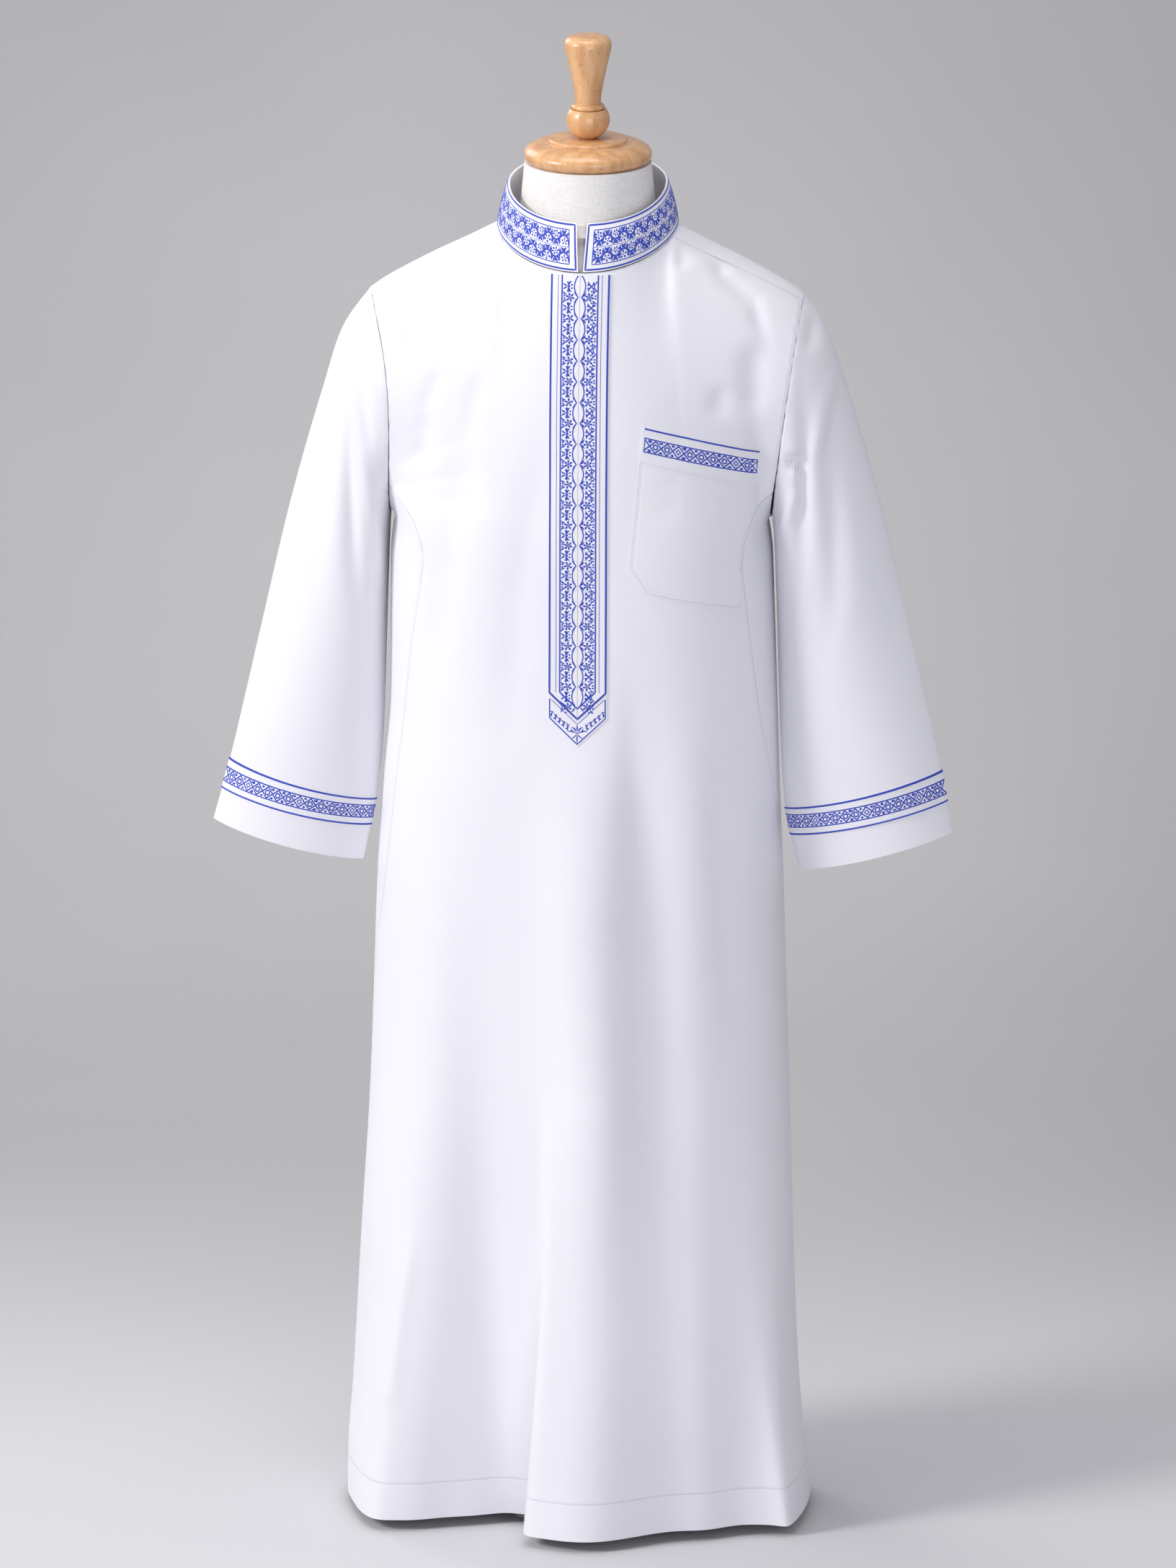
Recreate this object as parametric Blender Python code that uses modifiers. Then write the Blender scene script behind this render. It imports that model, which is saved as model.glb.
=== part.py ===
"""Thobe robe on its limbless dress form.

The robe is cut and sewn cloth: a front, a back that reaches over the shoulders, two side panels,
two sleeves, a stand-up collar and the embroidered trims. It rests on the shoulders of a dress form
with a turned wooden cap, which stands on a pole and a round base. Front is -Y and up is +Z, with the
origin on the floor under the base. Sides are the wearer's: right is -X and left is +X.
Sizes are in millimetres, and MM turns them into Blender's metres.
"""
import math
from typing import Callable, NamedTuple

import bmesh
import bpy
import numpy as np
from mathutils import Vector

MM = 0.001

# Driving sizes of the cloth
WALL = 1.5
COLLAR_WALL = 2.4
TRIM_WALL = 1.0
SEAM_GAP = 0.3
OVERLAY_GAP = 0.5
POCKET_GAP = 0.8
HEM_Z = 12.0
ARMPIT_Z = 1065.0
YOKE_Z = 1045.0
SECTION_POWER = 0.833
FOLD_GROWTH = 1.3
LAP_GROWTH = 1.25
FOLD_REACH = 2.2

# Armhole and shoulder
SHOULDER_TIP_X = 220.0
SHOULDER_TIP_Z = 1298.0
ARMHOLE_DEPTH = 70.0
ARMHOLE_SET_IN = 19.0
ARMHOLE_GAP = 1.3
UNDERARM_GAP = 2.4
GORE_TOP_ANGLE = math.radians(134)
GORE_SHARE = 0.2
GORE_INSET = 0.005
SEAM_TIP_ANGLE = math.radians(12.5)
SEAM_STOP = 0.975
SEAM_NECK_Y = -30.0

# Neckline and collar
NECKLINE_X = 91.0
NECKLINE_FRONT_Y = 97.0
NECKLINE_BACK_Y = 84.0
NECKLINE_SIDE_Z = 1368.0
NECKLINE_FRONT_DROP = 29.0
NECKLINE_BACK_RISE = 10.0
SEAM_NECK_DEG = math.degrees(math.acos(-SEAM_NECK_Y / NECKLINE_FRONT_Y))
NECK_SHARE = 0.27
NECK_TURN_DEG = 48.0
COLLAR_SEAT = 0.5 * WALL + SEAM_GAP + 0.5
COLLAR_BULGE = 1.6
COLLAR_TOP_X = 80.0
COLLAR_TOP_Y = 76.0
COLLAR_TOP_SIDE_Z = 1412.0
COLLAR_TOP_FRONT_DROP = 26.0
COLLAR_TOP_BACK_RISE = 13.0
COLLAR_GAP_TOP = 10.4
COLLAR_GAP_BASE = 4.6

# Placket, pocket and cuff trims
PLACKET_HALF_WIDTH = 29.6
PLACKET_TOP_Z = 1337.5
PLACKET_CORNER_Z = 910.0
PLACKET_POINT_DROP = 28.0
PLACKET_TIP_HEIGHT = 26.0
SLIT = 0.5
POCKET_TRIM_HEIGHT = 35.0
POCKET_CUT_SHARE = 0.83
TRIM_TOP_PART = 0.845
TRIM_BOTTOM_PART = 0.915

# Wooden cap and finial; each profile is radius and drop below its top
CAP_RADIUS = 65.0
CAP_Z = 1433.0
CAP_RIM_Z = 1441.0
CAP_DOME_RADIUS = 42.0
CAP_DOME_DROP = 4.0
CAP_UNDERCUT = ((64.3, 3.2), (62, 7), (59, 8))
DISC_Z = 1457.0
DISC_EDGE = ((38.5, 0), (40, 1.2), (40, 3))
BALL_RADIUS = 22.2
BALL_HALF_HEIGHT = 20.5
BALL_Z = DISC_Z + BALL_HALF_HEIGHT * 0.93
BALL_TOP_DEG, BALL_LOW_DEG = 34.0, -68.0
BEAD_Z = 1489.5
BEAD_NECK_RADIUS = 14.0
BEAD_ROUND = 2.9
FINIAL_Z = 1563.0
HANDLE = ((15.4, 0), (20, 1.7), (23, 4.7), (24.1, 8.5), (21.8, 21.5), (17.6, 40), (14, 59), (13.1, 70))

# Dress form and stand
FORM_BOTTOM_Z = 610.0
FORM_CLEARANCE = 0.5 * WALL + 0.5
FORM_NECK_DEPTH = 62.0
FORM_NECK_SLOPE = 0.06
FORM_SHOULDER_PINCH = 1.9
POLE_RADIUS = 14.0
BASE_RADIUS = 90.0
BASE_HEIGHT = 7.0
BASE_EDGE = 2.0


class BodyRow(NamedTuple):
    """Half widths and depths of the robe's section at one height."""
    z: float
    right: float
    left: float
    front: float
    back: float


BODY = (
    BodyRow(z=12, right=250, left=231, front=104, back=132),
    BodyRow(z=55, right=249.5, left=227, front=107, back=131),
    BodyRow(z=140, right=243.5, left=219, front=116, back=128),
    BodyRow(z=305, right=234, left=212, front=128, back=124),
    BodyRow(z=455, right=224.5, left=208, front=135, back=120),
    BodyRow(z=570, right=220, left=204, front=137, back=117),
    BodyRow(z=685, right=216, left=200.5, front=138, back=115),
    BodyRow(z=795, right=209, left=196, front=138, back=113),
    BodyRow(z=880, right=202, left=193.5, front=136, back=110),
    BodyRow(z=1045, right=200.5, left=188, front=131, back=105),
)


class SeamRow(NamedTuple):
    """Angles in degrees round the section, from the front, of a side panel's two seams."""
    z: float
    right_front: float
    left_front: float
    back: float


SIDE_SEAMS = (
    SeamRow(z=12, right_front=98, left_front=98, back=142),
    SeamRow(z=532, right_front=84, left_front=92, back=138),
    SeamRow(z=704, right_front=68, left_front=88, back=136),
    SeamRow(z=883, right_front=61, left_front=66, back=134),
    SeamRow(z=1045, right_front=49, left_front=56, back=132),
)


class Fold(NamedTuple):
    """A soft fold that grows from its top down to the hem."""
    name: str
    side: float
    x_hem: float
    x_top: float
    z_top: float
    half_width: float
    height: float
    run: float = 0  # how far below its top it is full, or 0 for the hem


FRONT, BACK = -1.0, 1.0
FOLDS = (
    Fold("right_edge_ridge", FRONT, x_hem=-190, x_top=-150, z_top=760, half_width=44, height=34),
    Fold("right_corner", FRONT, x_hem=-222, x_top=-185, z_top=480, half_width=24, height=26),
    Fold("right_valley", FRONT, x_hem=-72, x_top=-112, z_top=820, half_width=34, height=-20),
    Fold("centre_ridge", FRONT, x_hem=22, x_top=2, z_top=960, half_width=50, height=16, run=480),
    Fold("left_ridge", FRONT, x_hem=134, x_top=112, z_top=900, half_width=28, height=11),
    Fold("left_edge_ridge", FRONT, x_hem=206, x_top=172, z_top=600, half_width=36, height=27),
    Fold("left_corner", FRONT, x_hem=224, x_top=192, z_top=330, half_width=18, height=32),
    Fold("back_right_ridge", BACK, x_hem=-152, x_top=-120, z_top=780, half_width=30, height=17),
    Fold("back_right_valley", BACK, x_hem=-66, x_top=-54, z_top=700, half_width=28, height=-14),
    Fold("back_centre_ridge", BACK, x_hem=30, x_top=18, z_top=820, half_width=32, height=16),
    Fold("back_left_valley", BACK, x_hem=112, x_top=92, z_top=720, half_width=26, height=-12),
)


class LapFold(NamedTuple):
    """The overlapping fold in the skirt's front, whose left part stands out over its right part."""
    x_hem: float
    x_top: float
    z_top: float
    depth: float
    half_width: float
    overlap: float
    reach: float


LAP = LapFold(x_hem=-50, x_top=-27, z_top=500, depth=60, half_width=11, overlap=15, reach=165)


class ShoulderRow(NamedTuple):
    """Height of the shoulder's ridge and of the forward seam at a distance from the centre."""
    x: float
    ridge_z: float
    seam_drop: float


SHOULDER = (
    ShoulderRow(x=91, ridge_z=1368, seam_drop=5.5),
    ShoulderRow(x=120, ridge_z=1353, seam_drop=6),
    ShoulderRow(x=155, ridge_z=1336, seam_drop=6),
    ShoulderRow(x=191, ridge_z=1316.5, seam_drop=5),
    ShoulderRow(x=207, ridge_z=1307, seam_drop=4.5),
    ShoulderRow(x=220, ridge_z=1298, seam_drop=4),
)


class SleeveRow(NamedTuple):
    """Outer and inner edge of a sleeve, its middle and half depth; pinch draws its sides to an edge."""
    part: float
    out_x: float
    out_z: float
    in_x: float
    in_z: float
    mid_y: float
    half_depth: float
    pinch: float = 1.0


RIGHT_SLEEVE = (
    SleeveRow(part=0.0, out_x=220.6, out_z=1298, in_x=203.6, in_z=1066, mid_y=0, half_depth=70),
    SleeveRow(part=0.12, out_x=249.5, out_z=1257, in_x=204.6, in_z=1020, mid_y=-3, half_depth=65),
    SleeveRow(part=0.3, out_x=271, out_z=1190, in_x=206, in_z=962, mid_y=-6, half_depth=58, pinch=1.15),
    SleeveRow(part=0.5, out_x=303, out_z=1076, in_x=207.5, in_z=889, mid_y=-12, half_depth=50, pinch=1.4),
    SleeveRow(part=0.7, out_x=335, out_z=938, in_x=210.5, in_z=816, mid_y=-19, half_depth=42, pinch=1.6),
    SleeveRow(part=0.845, out_x=366, out_z=804, in_x=217, in_z=764, mid_y=-24, half_depth=35, pinch=1.6),
    SleeveRow(part=1.0, out_x=383.5, out_z=739, in_x=230, in_z=699.5, mid_y=-27, half_depth=31, pinch=1.6),
)
LEFT_SLEEVE = (
    SleeveRow(part=0.0, out_x=220.6, out_z=1298, in_x=191.4, in_z=1066, mid_y=0, half_depth=70),
    SleeveRow(part=0.12, out_x=241, out_z=1268, in_x=193, in_z=1022, mid_y=-3, half_depth=65),
    SleeveRow(part=0.3, out_x=264, out_z=1205, in_x=195, in_z=964, mid_y=-6, half_depth=58, pinch=1.15),
    SleeveRow(part=0.5, out_x=300, out_z=1083, in_x=197.5, in_z=889, mid_y=-12, half_depth=50, pinch=1.4),
    SleeveRow(part=0.7, out_x=330, out_z=955, in_x=200.5, in_z=819, mid_y=-19, half_depth=42, pinch=1.6),
    SleeveRow(part=0.845, out_x=364, out_z=806.5, in_x=205.5, in_z=763.5, mid_y=-24, half_depth=35, pinch=1.6),
    SleeveRow(part=1.0, out_x=376, out_z=741, in_x=220, in_z=698.5, mid_y=-27, half_depth=31, pinch=1.6),
)


class SleeveFold(NamedTuple):
    """A crease along a sleeve, with its angle round the tube at both ends."""
    start: float
    end: float
    start_deg: float
    end_deg: float
    half_width_deg: float
    depth: float


RIGHT_SLEEVE_FOLDS = (
    SleeveFold(start=0.05, end=0.5, start_deg=62, end_deg=118, half_width_deg=17, depth=7),
    SleeveFold(start=0.1, end=0.62, start_deg=38, end_deg=70, half_width_deg=14, depth=4),
    SleeveFold(start=0.1, end=0.55, start_deg=290, end_deg=250, half_width_deg=17, depth=6),
)
LEFT_SLEEVE_FOLDS = (
    SleeveFold(start=0.05, end=0.42, start_deg=66, end_deg=120, half_width_deg=16, depth=7),
    SleeveFold(start=0.18, end=0.6, start_deg=45, end_deg=88, half_width_deg=15, depth=5),
    SleeveFold(start=0.1, end=0.5, start_deg=292, end_deg=246, half_width_deg=17, depth=6),
)


class FormRow(NamedTuple):
    """Half width and half depth of the dress form at one height; pinch draws its sides to an edge."""
    z: float
    half_width: float
    half_depth: float
    pinch: float = 1.0


FORM = (
    FormRow(z=FORM_BOTTOM_Z, half_width=120, half_depth=70),
    FormRow(z=618, half_width=150, half_depth=86),
    FormRow(z=640, half_width=165, half_depth=94),
    FormRow(z=720, half_width=172, half_depth=99),
    FormRow(z=820, half_width=160, half_depth=93),
    FormRow(z=930, half_width=150, half_depth=87),
    FormRow(z=1050, half_width=165, half_depth=90),
    FormRow(z=1150, half_width=173, half_depth=86),
    FormRow(z=1215, half_width=180, half_depth=80, pinch=1.1),
    FormRow(z=1260, half_width=188, half_depth=72, pinch=1.25),
    FormRow(z=1285, half_width=193, half_depth=66, pinch=1.4),
)
FORM_RING_SIDES = 28
FORM_SHOULDER_X = (196, 180, 160, 140, 120, 105, 93)
NECK_ROWS = (
    FormRow(z=1371, half_width=80, half_depth=73),
    FormRow(z=1380, half_width=70, half_depth=70),
    FormRow(z=1402, half_width=67.5, half_depth=67.5),
    FormRow(z=CAP_Z - SEAM_GAP, half_width=64.5, half_depth=64.5),
)



class Corner(NamedTuple):
    """A corner of the pocket on the front."""
    x: float
    z: float


POCKET_TOP_RIGHT = Corner(65.0, 1185.5)
POCKET_TOP_LEFT = Corner(182.0, 1151.0)
POCKET_LOW_RIGHT = Corner(52.5, 1041.0)
POCKET_LOW_LEFT = Corner(170.5, 1010.0)
POCKET_CUT_RIGHT = Corner(69.5, 1014.5)
POCKET_CUT_LEFT = Corner(160.0, 990.5)

Point = np.ndarray
Place = tuple[float, float]
Surface = Callable[[float, float], Point]


def eased(rows: tuple, key: str, column: str, at: float) -> float:
    """Smooth value of one column of a table, with no overshoot between its rows."""
    xs = [getattr(row, key) for row in rows]
    ys = [getattr(row, column) for row in rows]
    if at <= xs[0]:
        return ys[0]
    if at >= xs[-1]:
        return ys[-1]
    i = max(k for k, x in enumerate(xs) if x <= at)
    slopes = [(ys[k + 1] - ys[k]) / (xs[k + 1] - xs[k]) for k in range(len(xs) - 1)]

    def tangent(k: int) -> float:
        if k in (0, len(xs) - 1):
            return slopes[min(k, len(slopes) - 1)]
        before, after = slopes[k - 1], slopes[k]
        return 0.0 if before * after <= 0 else 2 * before * after / (before + after)

    step = xs[i + 1] - xs[i]
    u = (at - xs[i]) / step
    return ((1 + 2 * u) * (1 - u) ** 2 * ys[i] + u * (1 - u) ** 2 * step * tangent(i)
            + u * u * (3 - 2 * u) * ys[i + 1] + u * u * (u - 1) * step * tangent(i + 1))


def signed_power(value: float, power: float) -> float:
    """A power that keeps the value's sign."""
    return math.copysign(abs(value) ** power, value)


def body_point(z: float, degrees: float) -> Point:
    """Point of the robe's body at a height, at an angle round from the front towards the left."""
    angle = math.radians(degrees)
    across = signed_power(math.sin(angle), SECTION_POWER)
    along = signed_power(math.cos(angle), SECTION_POWER)
    x = eased(BODY, "z", "left" if across > 0 else "right", z) * across
    side = FRONT if along > 0 else BACK
    y = side * abs(along) * eased(BODY, "z", "front" if side == FRONT else "back", z)
    taper = min(1.0, FOLD_REACH * abs(along))
    rise = 0.0
    for fold in FOLDS:
        if fold.side == side and z < fold.z_top:
            grown = min(1.0, (fold.z_top - z) / (fold.run or fold.z_top)) ** FOLD_GROWTH
            middle = fold.x_top + (fold.x_hem - fold.x_top) * grown
            rise += fold.height * grown * math.exp(-((x - middle) / fold.half_width) ** 2)
    if side == FRONT and z < LAP.z_top:
        grown = ((LAP.z_top - z) / LAP.z_top) ** LAP_GROWTH
        middle = LAP.x_top + (LAP.x_hem - LAP.x_top) * grown
        t = (x - middle) / LAP.half_width
        fade = math.exp(-(max(0.0, x - middle) / LAP.reach) ** 2)
        rise += LAP.depth * grown * 0.5 * (1 + math.tanh(1.5 * t)) * fade
        x -= 2.33 * (LAP.overlap + LAP.half_width) * grown * 0.5 * t * math.exp(-t * t)
    return np.array((x, y + side * rise * taper, z))


def seam_degrees(z: float, edge: str, side: float, aside: float = 0.0) -> float:
    """Unsigned angle round the section of a side panel's seam, or of an edge that many mm behind it."""
    degrees = eased(SIDE_SEAMS, "z", edge, z)
    if aside == 0:
        return degrees
    step = 0.5
    span = body_point(z, side * (degrees + step)) - body_point(z, side * (degrees - step))
    return degrees + aside * 2 * step / float(np.linalg.norm(span))


def front_seam(side: float) -> str:
    """Column of the side panel's front seam on one side."""
    return "left_front" if side > 0 else "right_front"


def armhole_point(side: float, angle: float) -> Point:
    """Point of an armhole's edge; the angle runs from the shoulder tip forward and under the arm."""
    armpit_x = eased(BODY, "z", "left" if side > 0 else "right", YOKE_Z)
    high = 0.5 * (1 + math.cos(angle))
    x = armpit_x + (SHOULDER_TIP_X - armpit_x) * high
    if side < 0 and angle < math.pi:
        x -= ARMHOLE_SET_IN * math.sin(angle) ** 2 * (0.35 + 0.65 * high)
    z = ARMPIT_Z + (SHOULDER_TIP_Z - ARMPIT_Z) * high
    return np.array((side * x, -ARMHOLE_DEPTH * math.sin(angle), z))


def neckline_point(degrees: float) -> Point:
    """Point of the neckline, by its angle from the front towards the left."""
    angle = math.radians(degrees)
    forward = math.cos(angle)
    depth = NECKLINE_FRONT_Y if forward > 0 else NECKLINE_BACK_Y
    if forward > 0:
        z = NECKLINE_SIDE_Z - NECKLINE_FRONT_DROP * forward ** 1.3
    else:
        z = NECKLINE_SIDE_Z - NECKLINE_BACK_RISE * forward
    return np.array((NECKLINE_X * math.sin(angle), -depth * forward, z))


def shoulder_height(x: float, on_seam: bool) -> float:
    """Height of a shoulder's ridge, or of its forward seam, at a distance from the centre."""
    ridge = eased(SHOULDER, "x", "ridge_z", x)
    return ridge - eased(SHOULDER, "x", "seam_drop", x) if on_seam else ridge


def shoulder_point(side: float, inward: float, on_seam: bool) -> Point:
    """Point of a shoulder's ridge, or of its forward seam, from the tip (0) to the neck (1)."""
    tip = armhole_point(side, SEAM_TIP_ANGLE if on_seam else 0.0)
    neck = neckline_point(side * (SEAM_NECK_DEG if on_seam else 90.0))
    x = abs(tip[0] + (neck[0] - tip[0]) * inward)
    y = tip[1] + (neck[1] - tip[1]) * inward ** 0.8
    flat = tip[2] + (neck[2] - tip[2]) * inward
    start_z, end_z = (shoulder_height(abs(end[0]), on_seam) for end in (tip, neck))
    rise = shoulder_height(x, on_seam) - (start_z + (end_z - start_z) * inward)
    return np.array((side * x, y, flat + rise))


def top_edge(side: float, s: float) -> Point:
    """Top edge of the front (side -1) or back (side 1) panel, from the right tip to the left tip."""
    if s < NECK_SHARE:
        return shoulder_point(-1, s / NECK_SHARE, side == FRONT)
    if s > 1 - NECK_SHARE:
        return shoulder_point(1, (1 - s) / NECK_SHARE, side == FRONT)
    across = (s - NECK_SHARE) / (1 - 2 * NECK_SHARE) * 2 - 1
    if side == FRONT:
        return neckline_point(across * SEAM_NECK_DEG)
    return neckline_point(180 - across * 90)


def panel_side_edge(side: float, face: float, t: float) -> Point:
    """Side edge of a panel above the yoke line: off the side panel, then up the armhole."""
    if face == FRONT:
        start_deg = seam_degrees(YOKE_Z, front_seam(side), side, -0.5 * SEAM_GAP)
        low_angle, high_angle = GORE_TOP_ANGLE, SEAM_TIP_ANGLE
    else:
        start_deg = seam_degrees(YOKE_Z, "back", side, 0.5 * SEAM_GAP)
        low_angle, high_angle = 2 * math.pi - GORE_TOP_ANGLE, 2 * math.pi
    corner = armhole_point(side, low_angle)
    if t < GORE_SHARE:
        u = t / GORE_SHARE
        start = body_point(YOKE_Z, side * start_deg)
        bend = np.array((start[0] + 0.3 * (corner[0] - start[0]), start[1], corner[2] - 14))
        return (1 - u) ** 2 * start + 2 * u * (1 - u) * bend + u * u * corner
    u = (t - GORE_SHARE) / (1 - GORE_SHARE)
    return armhole_point(side, low_angle + (high_angle - low_angle) * u)


def yoke_point(face: float, s: float, t: float) -> Point:
    """Point of a panel above the yoke line: quarter-ellipse columns drawn out to the armholes."""
    right_deg, left_deg = panel_edges_deg(face, YOKE_Z)
    bottom = body_point(YOKE_Z, right_deg + (left_deg - right_deg) * s)
    top = top_edge(face, s)
    off_centre = min(1.0, abs(2 * s - 1) / (1 - 2 * NECK_SHARE))
    full = math.radians(NECK_TURN_DEG + (90 - NECK_TURN_DEG) * off_centre ** 3)
    turn = full * t
    blend = np.array((t * t * (3 - 2 * t), (1 - math.cos(turn)) / (1 - math.cos(full)),
                      math.sin(turn) / math.sin(full)))
    point = bottom + (top - bottom) * blend
    for side, near in ((-1.0, 1 - 2 * s), (1.0, 2 * s - 1)):
        if near > 0:
            corner = 0.0 if side < 0 else 1.0
            low = body_point(YOKE_Z, right_deg + (left_deg - right_deg) * corner)
            high = top_edge(face, corner)
            edge = panel_side_edge(side, face, t)
            point = point + near ** 1.5 * (edge - low - (high - low) * blend)
    return point


def panel_edges_deg(face: float, z: float) -> tuple[float, float]:
    """Angles of a panel's right and left edge at a height below the yoke line."""
    half = 0.5 * SEAM_GAP
    if face == FRONT:
        return -seam_degrees(z, "right_front", -1, -half), seam_degrees(z, "left_front", 1, -half)
    return 360 - seam_degrees(z, "back", -1, half), seam_degrees(z, "back", 1, half)


def panel_point(face: float, s: float, v: float) -> Point:
    """Point of the front or back; v runs from the hem (0) to the yoke line (1) and the top (2)."""
    if v <= 1:
        z = HEM_Z + (YOKE_Z - HEM_Z) * v
        right_deg, left_deg = panel_edges_deg(face, z)
        return body_point(z, right_deg + (left_deg - right_deg) * s)
    return yoke_point(face, s, v - 1)


def normal_of(surface: Surface, a: float, b: float, step: float = 1e-3) -> Point:
    """Unit normal of a surface at its own coordinates, by differences."""
    du = surface(a + step, b) - surface(a - step, b)
    dv = surface(a, b + step) - surface(a, b - step)
    normal = np.cross(du, dv)
    return normal / np.linalg.norm(normal)


def on_front(x: float, z: float, out: float) -> Point:
    """Point over the front panel at x and z, moved out along its normal."""
    s, v = 0.5 + x / 420, 1 + (z - YOKE_Z) / 300
    for _ in range(14):
        here = front_surface(s, v)
        step = 1e-3
        along_s = (front_surface(s + step, v) - here) / step
        along_v = (front_surface(s, v + step) - here) / step
        matrix = np.array(((along_s[0], along_v[0]), (along_s[2], along_v[2])))
        ds, dv = np.linalg.solve(matrix, np.array((x - here[0], z - here[2])))
        s = float(np.clip(s + np.clip(ds, -0.1, 0.1), 0.01, 0.99))
        v = float(np.clip(v + np.clip(dv, -0.15, 0.15), 0.01, 1.995))
    return front_surface(s, v) + out * normal_of(front_surface, s, v)


def front_surface(s: float, v: float) -> Point:
    """The front panel's middle surface."""
    return panel_point(FRONT, min(max(s, 0.0), 1.0), min(max(v, 0.0), 2.0))


def sleeve_row(side: float, part: float) -> SleeveRow:
    """Smooth row of a sleeve's table."""
    rows = LEFT_SLEEVE if side > 0 else RIGHT_SLEEVE
    columns = [name for name in SleeveRow._fields if name != "part"]
    return SleeveRow(part, *(eased(rows, "part", name, part) for name in columns))


def sleeve_point(side: float, part: float, angle: float) -> Point:
    """Point of a sleeve; the angle runs from its outer edge forward, like the armhole's."""
    row = sleeve_row(side, part)
    high = 0.5 * (1 + math.cos(angle))
    x = row.in_x + (row.out_x - row.in_x) * high
    z = row.in_z + (row.out_z - row.in_z) * high
    y = row.mid_y - row.half_depth * signed_power(math.sin(angle), row.pinch)
    fade = max(0.0, 1 - part / 0.14) ** 2
    rest = armhole_point(side, angle)
    x += fade * (abs(rest[0]) + ARMHOLE_GAP + UNDERARM_GAP * (1 - high) ** 3 - x)
    y += fade * (rest[1] - y)
    z += fade * (rest[2] - z)
    middle = np.array((0.5 * (row.in_x + row.out_x), row.mid_y, 0.5 * (row.in_z + row.out_z)))
    inward = middle - np.array((x, y, z))
    inward /= np.linalg.norm(inward)
    for fold in (LEFT_SLEEVE_FOLDS if side > 0 else RIGHT_SLEEVE_FOLDS):
        if fold.start < part < fold.end:
            u = (part - fold.start) / (fold.end - fold.start)
            centre = fold.start_deg + (fold.end_deg - fold.start_deg) * u
            away = (math.degrees(angle) - centre) / fold.half_width_deg
            dip = fold.depth * math.sin(math.pi * u) ** 1.5 * math.exp(-away * away)
            x, y, z = np.array((x, y, z)) + inward * dip
    return np.array((side * x, y, z))


def collar_point(degrees: float, up: float) -> Point:
    """Point of the collar's middle surface, from the neckline (0) to its top edge (1)."""
    angle = math.radians(degrees)
    forward = math.cos(angle)
    base = neckline_point(degrees) + np.array((0, 0, COLLAR_SEAT))
    drop = COLLAR_TOP_FRONT_DROP if forward > 0 else COLLAR_TOP_BACK_RISE
    top_z = COLLAR_TOP_SIDE_Z - drop * forward
    top = np.array((COLLAR_TOP_X * math.sin(angle), -COLLAR_TOP_Y * forward, top_z))
    bulge = COLLAR_BULGE * math.sin(math.pi * up)
    out = np.array((math.sin(angle), -forward, 0.0))
    return base + (top - base) * up + out * bulge


def grid_mesh(name: str, points: list[list[Point]], closed: bool = False) -> bpy.types.Mesh:
    """Open mesh of quads through rows of points; closed joins each row's end to its start."""
    rows, columns = len(points), len(points[0])
    vertices = [Vector(point) * MM for row in points for point in row]
    faces = []
    for i in range(rows - 1):
        for j in range(columns if closed else columns - 1):
            k = (j + 1) % columns
            faces.append((i * columns + j, i * columns + k, (i + 1) * columns + k, (i + 1) * columns + j))
    mesh = bpy.data.meshes.new(name)
    mesh.from_pydata(vertices, [], faces)
    return mesh


class Look(NamedTuple):
    """Colour and surface of one sub-part."""
    colour: tuple[float, float, float]
    roughness: float
    metallic: float = 0.0


CLOTH = Look((0.80, 0.82, 0.90), 0.5)
EMBROIDERY = Look((0.10, 0.14, 0.55), 0.45)
LINEN = Look((0.76, 0.73, 0.68), 0.9)
WOOD = Look((0.72, 0.42, 0.17), 0.25)
STEEL = Look((0.85, 0.85, 0.86), 0.35, 0.6)


class Builder:
    """Adds named objects to the part's collection, each with its own material."""

    def __init__(self, collection_name: str) -> None:
        self.collection = bpy.data.collections.new(collection_name)
        bpy.context.scene.collection.children.link(self.collection)

    def add(self, name: str, mesh: bpy.types.Mesh, look: Look,
            location: tuple[float, float, float] = (0, 0, 0)) -> bpy.types.Object:
        """Adds one object with its own material."""
        mesh.name = name
        item = bpy.data.objects.new(name, mesh)
        item.location = [value * MM for value in location]
        self.collection.objects.link(item)
        material = bpy.data.materials.new(name)
        material.use_nodes = True
        shader = material.node_tree.nodes["Principled BSDF"]
        shader.inputs["Base Color"].default_value = (*look.colour, 1.0)
        shader.inputs["Roughness"].default_value = look.roughness
        shader.inputs["Metallic"].default_value = look.metallic
        mesh.materials.append(material)
        mesh.shade_smooth()
        mesh.set_sharp_from_angle(angle=math.radians(40))
        return item

    def cloth(self, name: str, mesh: bpy.types.Mesh, wall: float, look: Look) -> bpy.types.Object:
        """Adds an open surface as a cloth wall, half its thickness on each side."""
        item = self.add(name, mesh, look)
        solidify = item.modifiers.new("wall", "SOLIDIFY")
        solidify.thickness = wall * MM
        solidify.offset = 0.0
        return item

    def turned(self, name: str, profile: list[Place], steps: int, look: Look) -> bpy.types.Object:
        """Adds a turned piece from radius and height pairs that run down its outer side."""
        mesh = bpy.data.meshes.new(name)
        points = [(radius * MM, 0.0, z * MM) for radius, z in profile]
        mesh.from_pydata(points, [(i, i + 1) for i in range(len(points) - 1)], [])
        item = self.add(name, mesh, look)
        screw = item.modifiers.new("turned", "SCREW")
        screw.steps = screw.render_steps = steps
        screw.use_merge_vertices = True
        screw.merge_threshold = 1e-6
        return item


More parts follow.
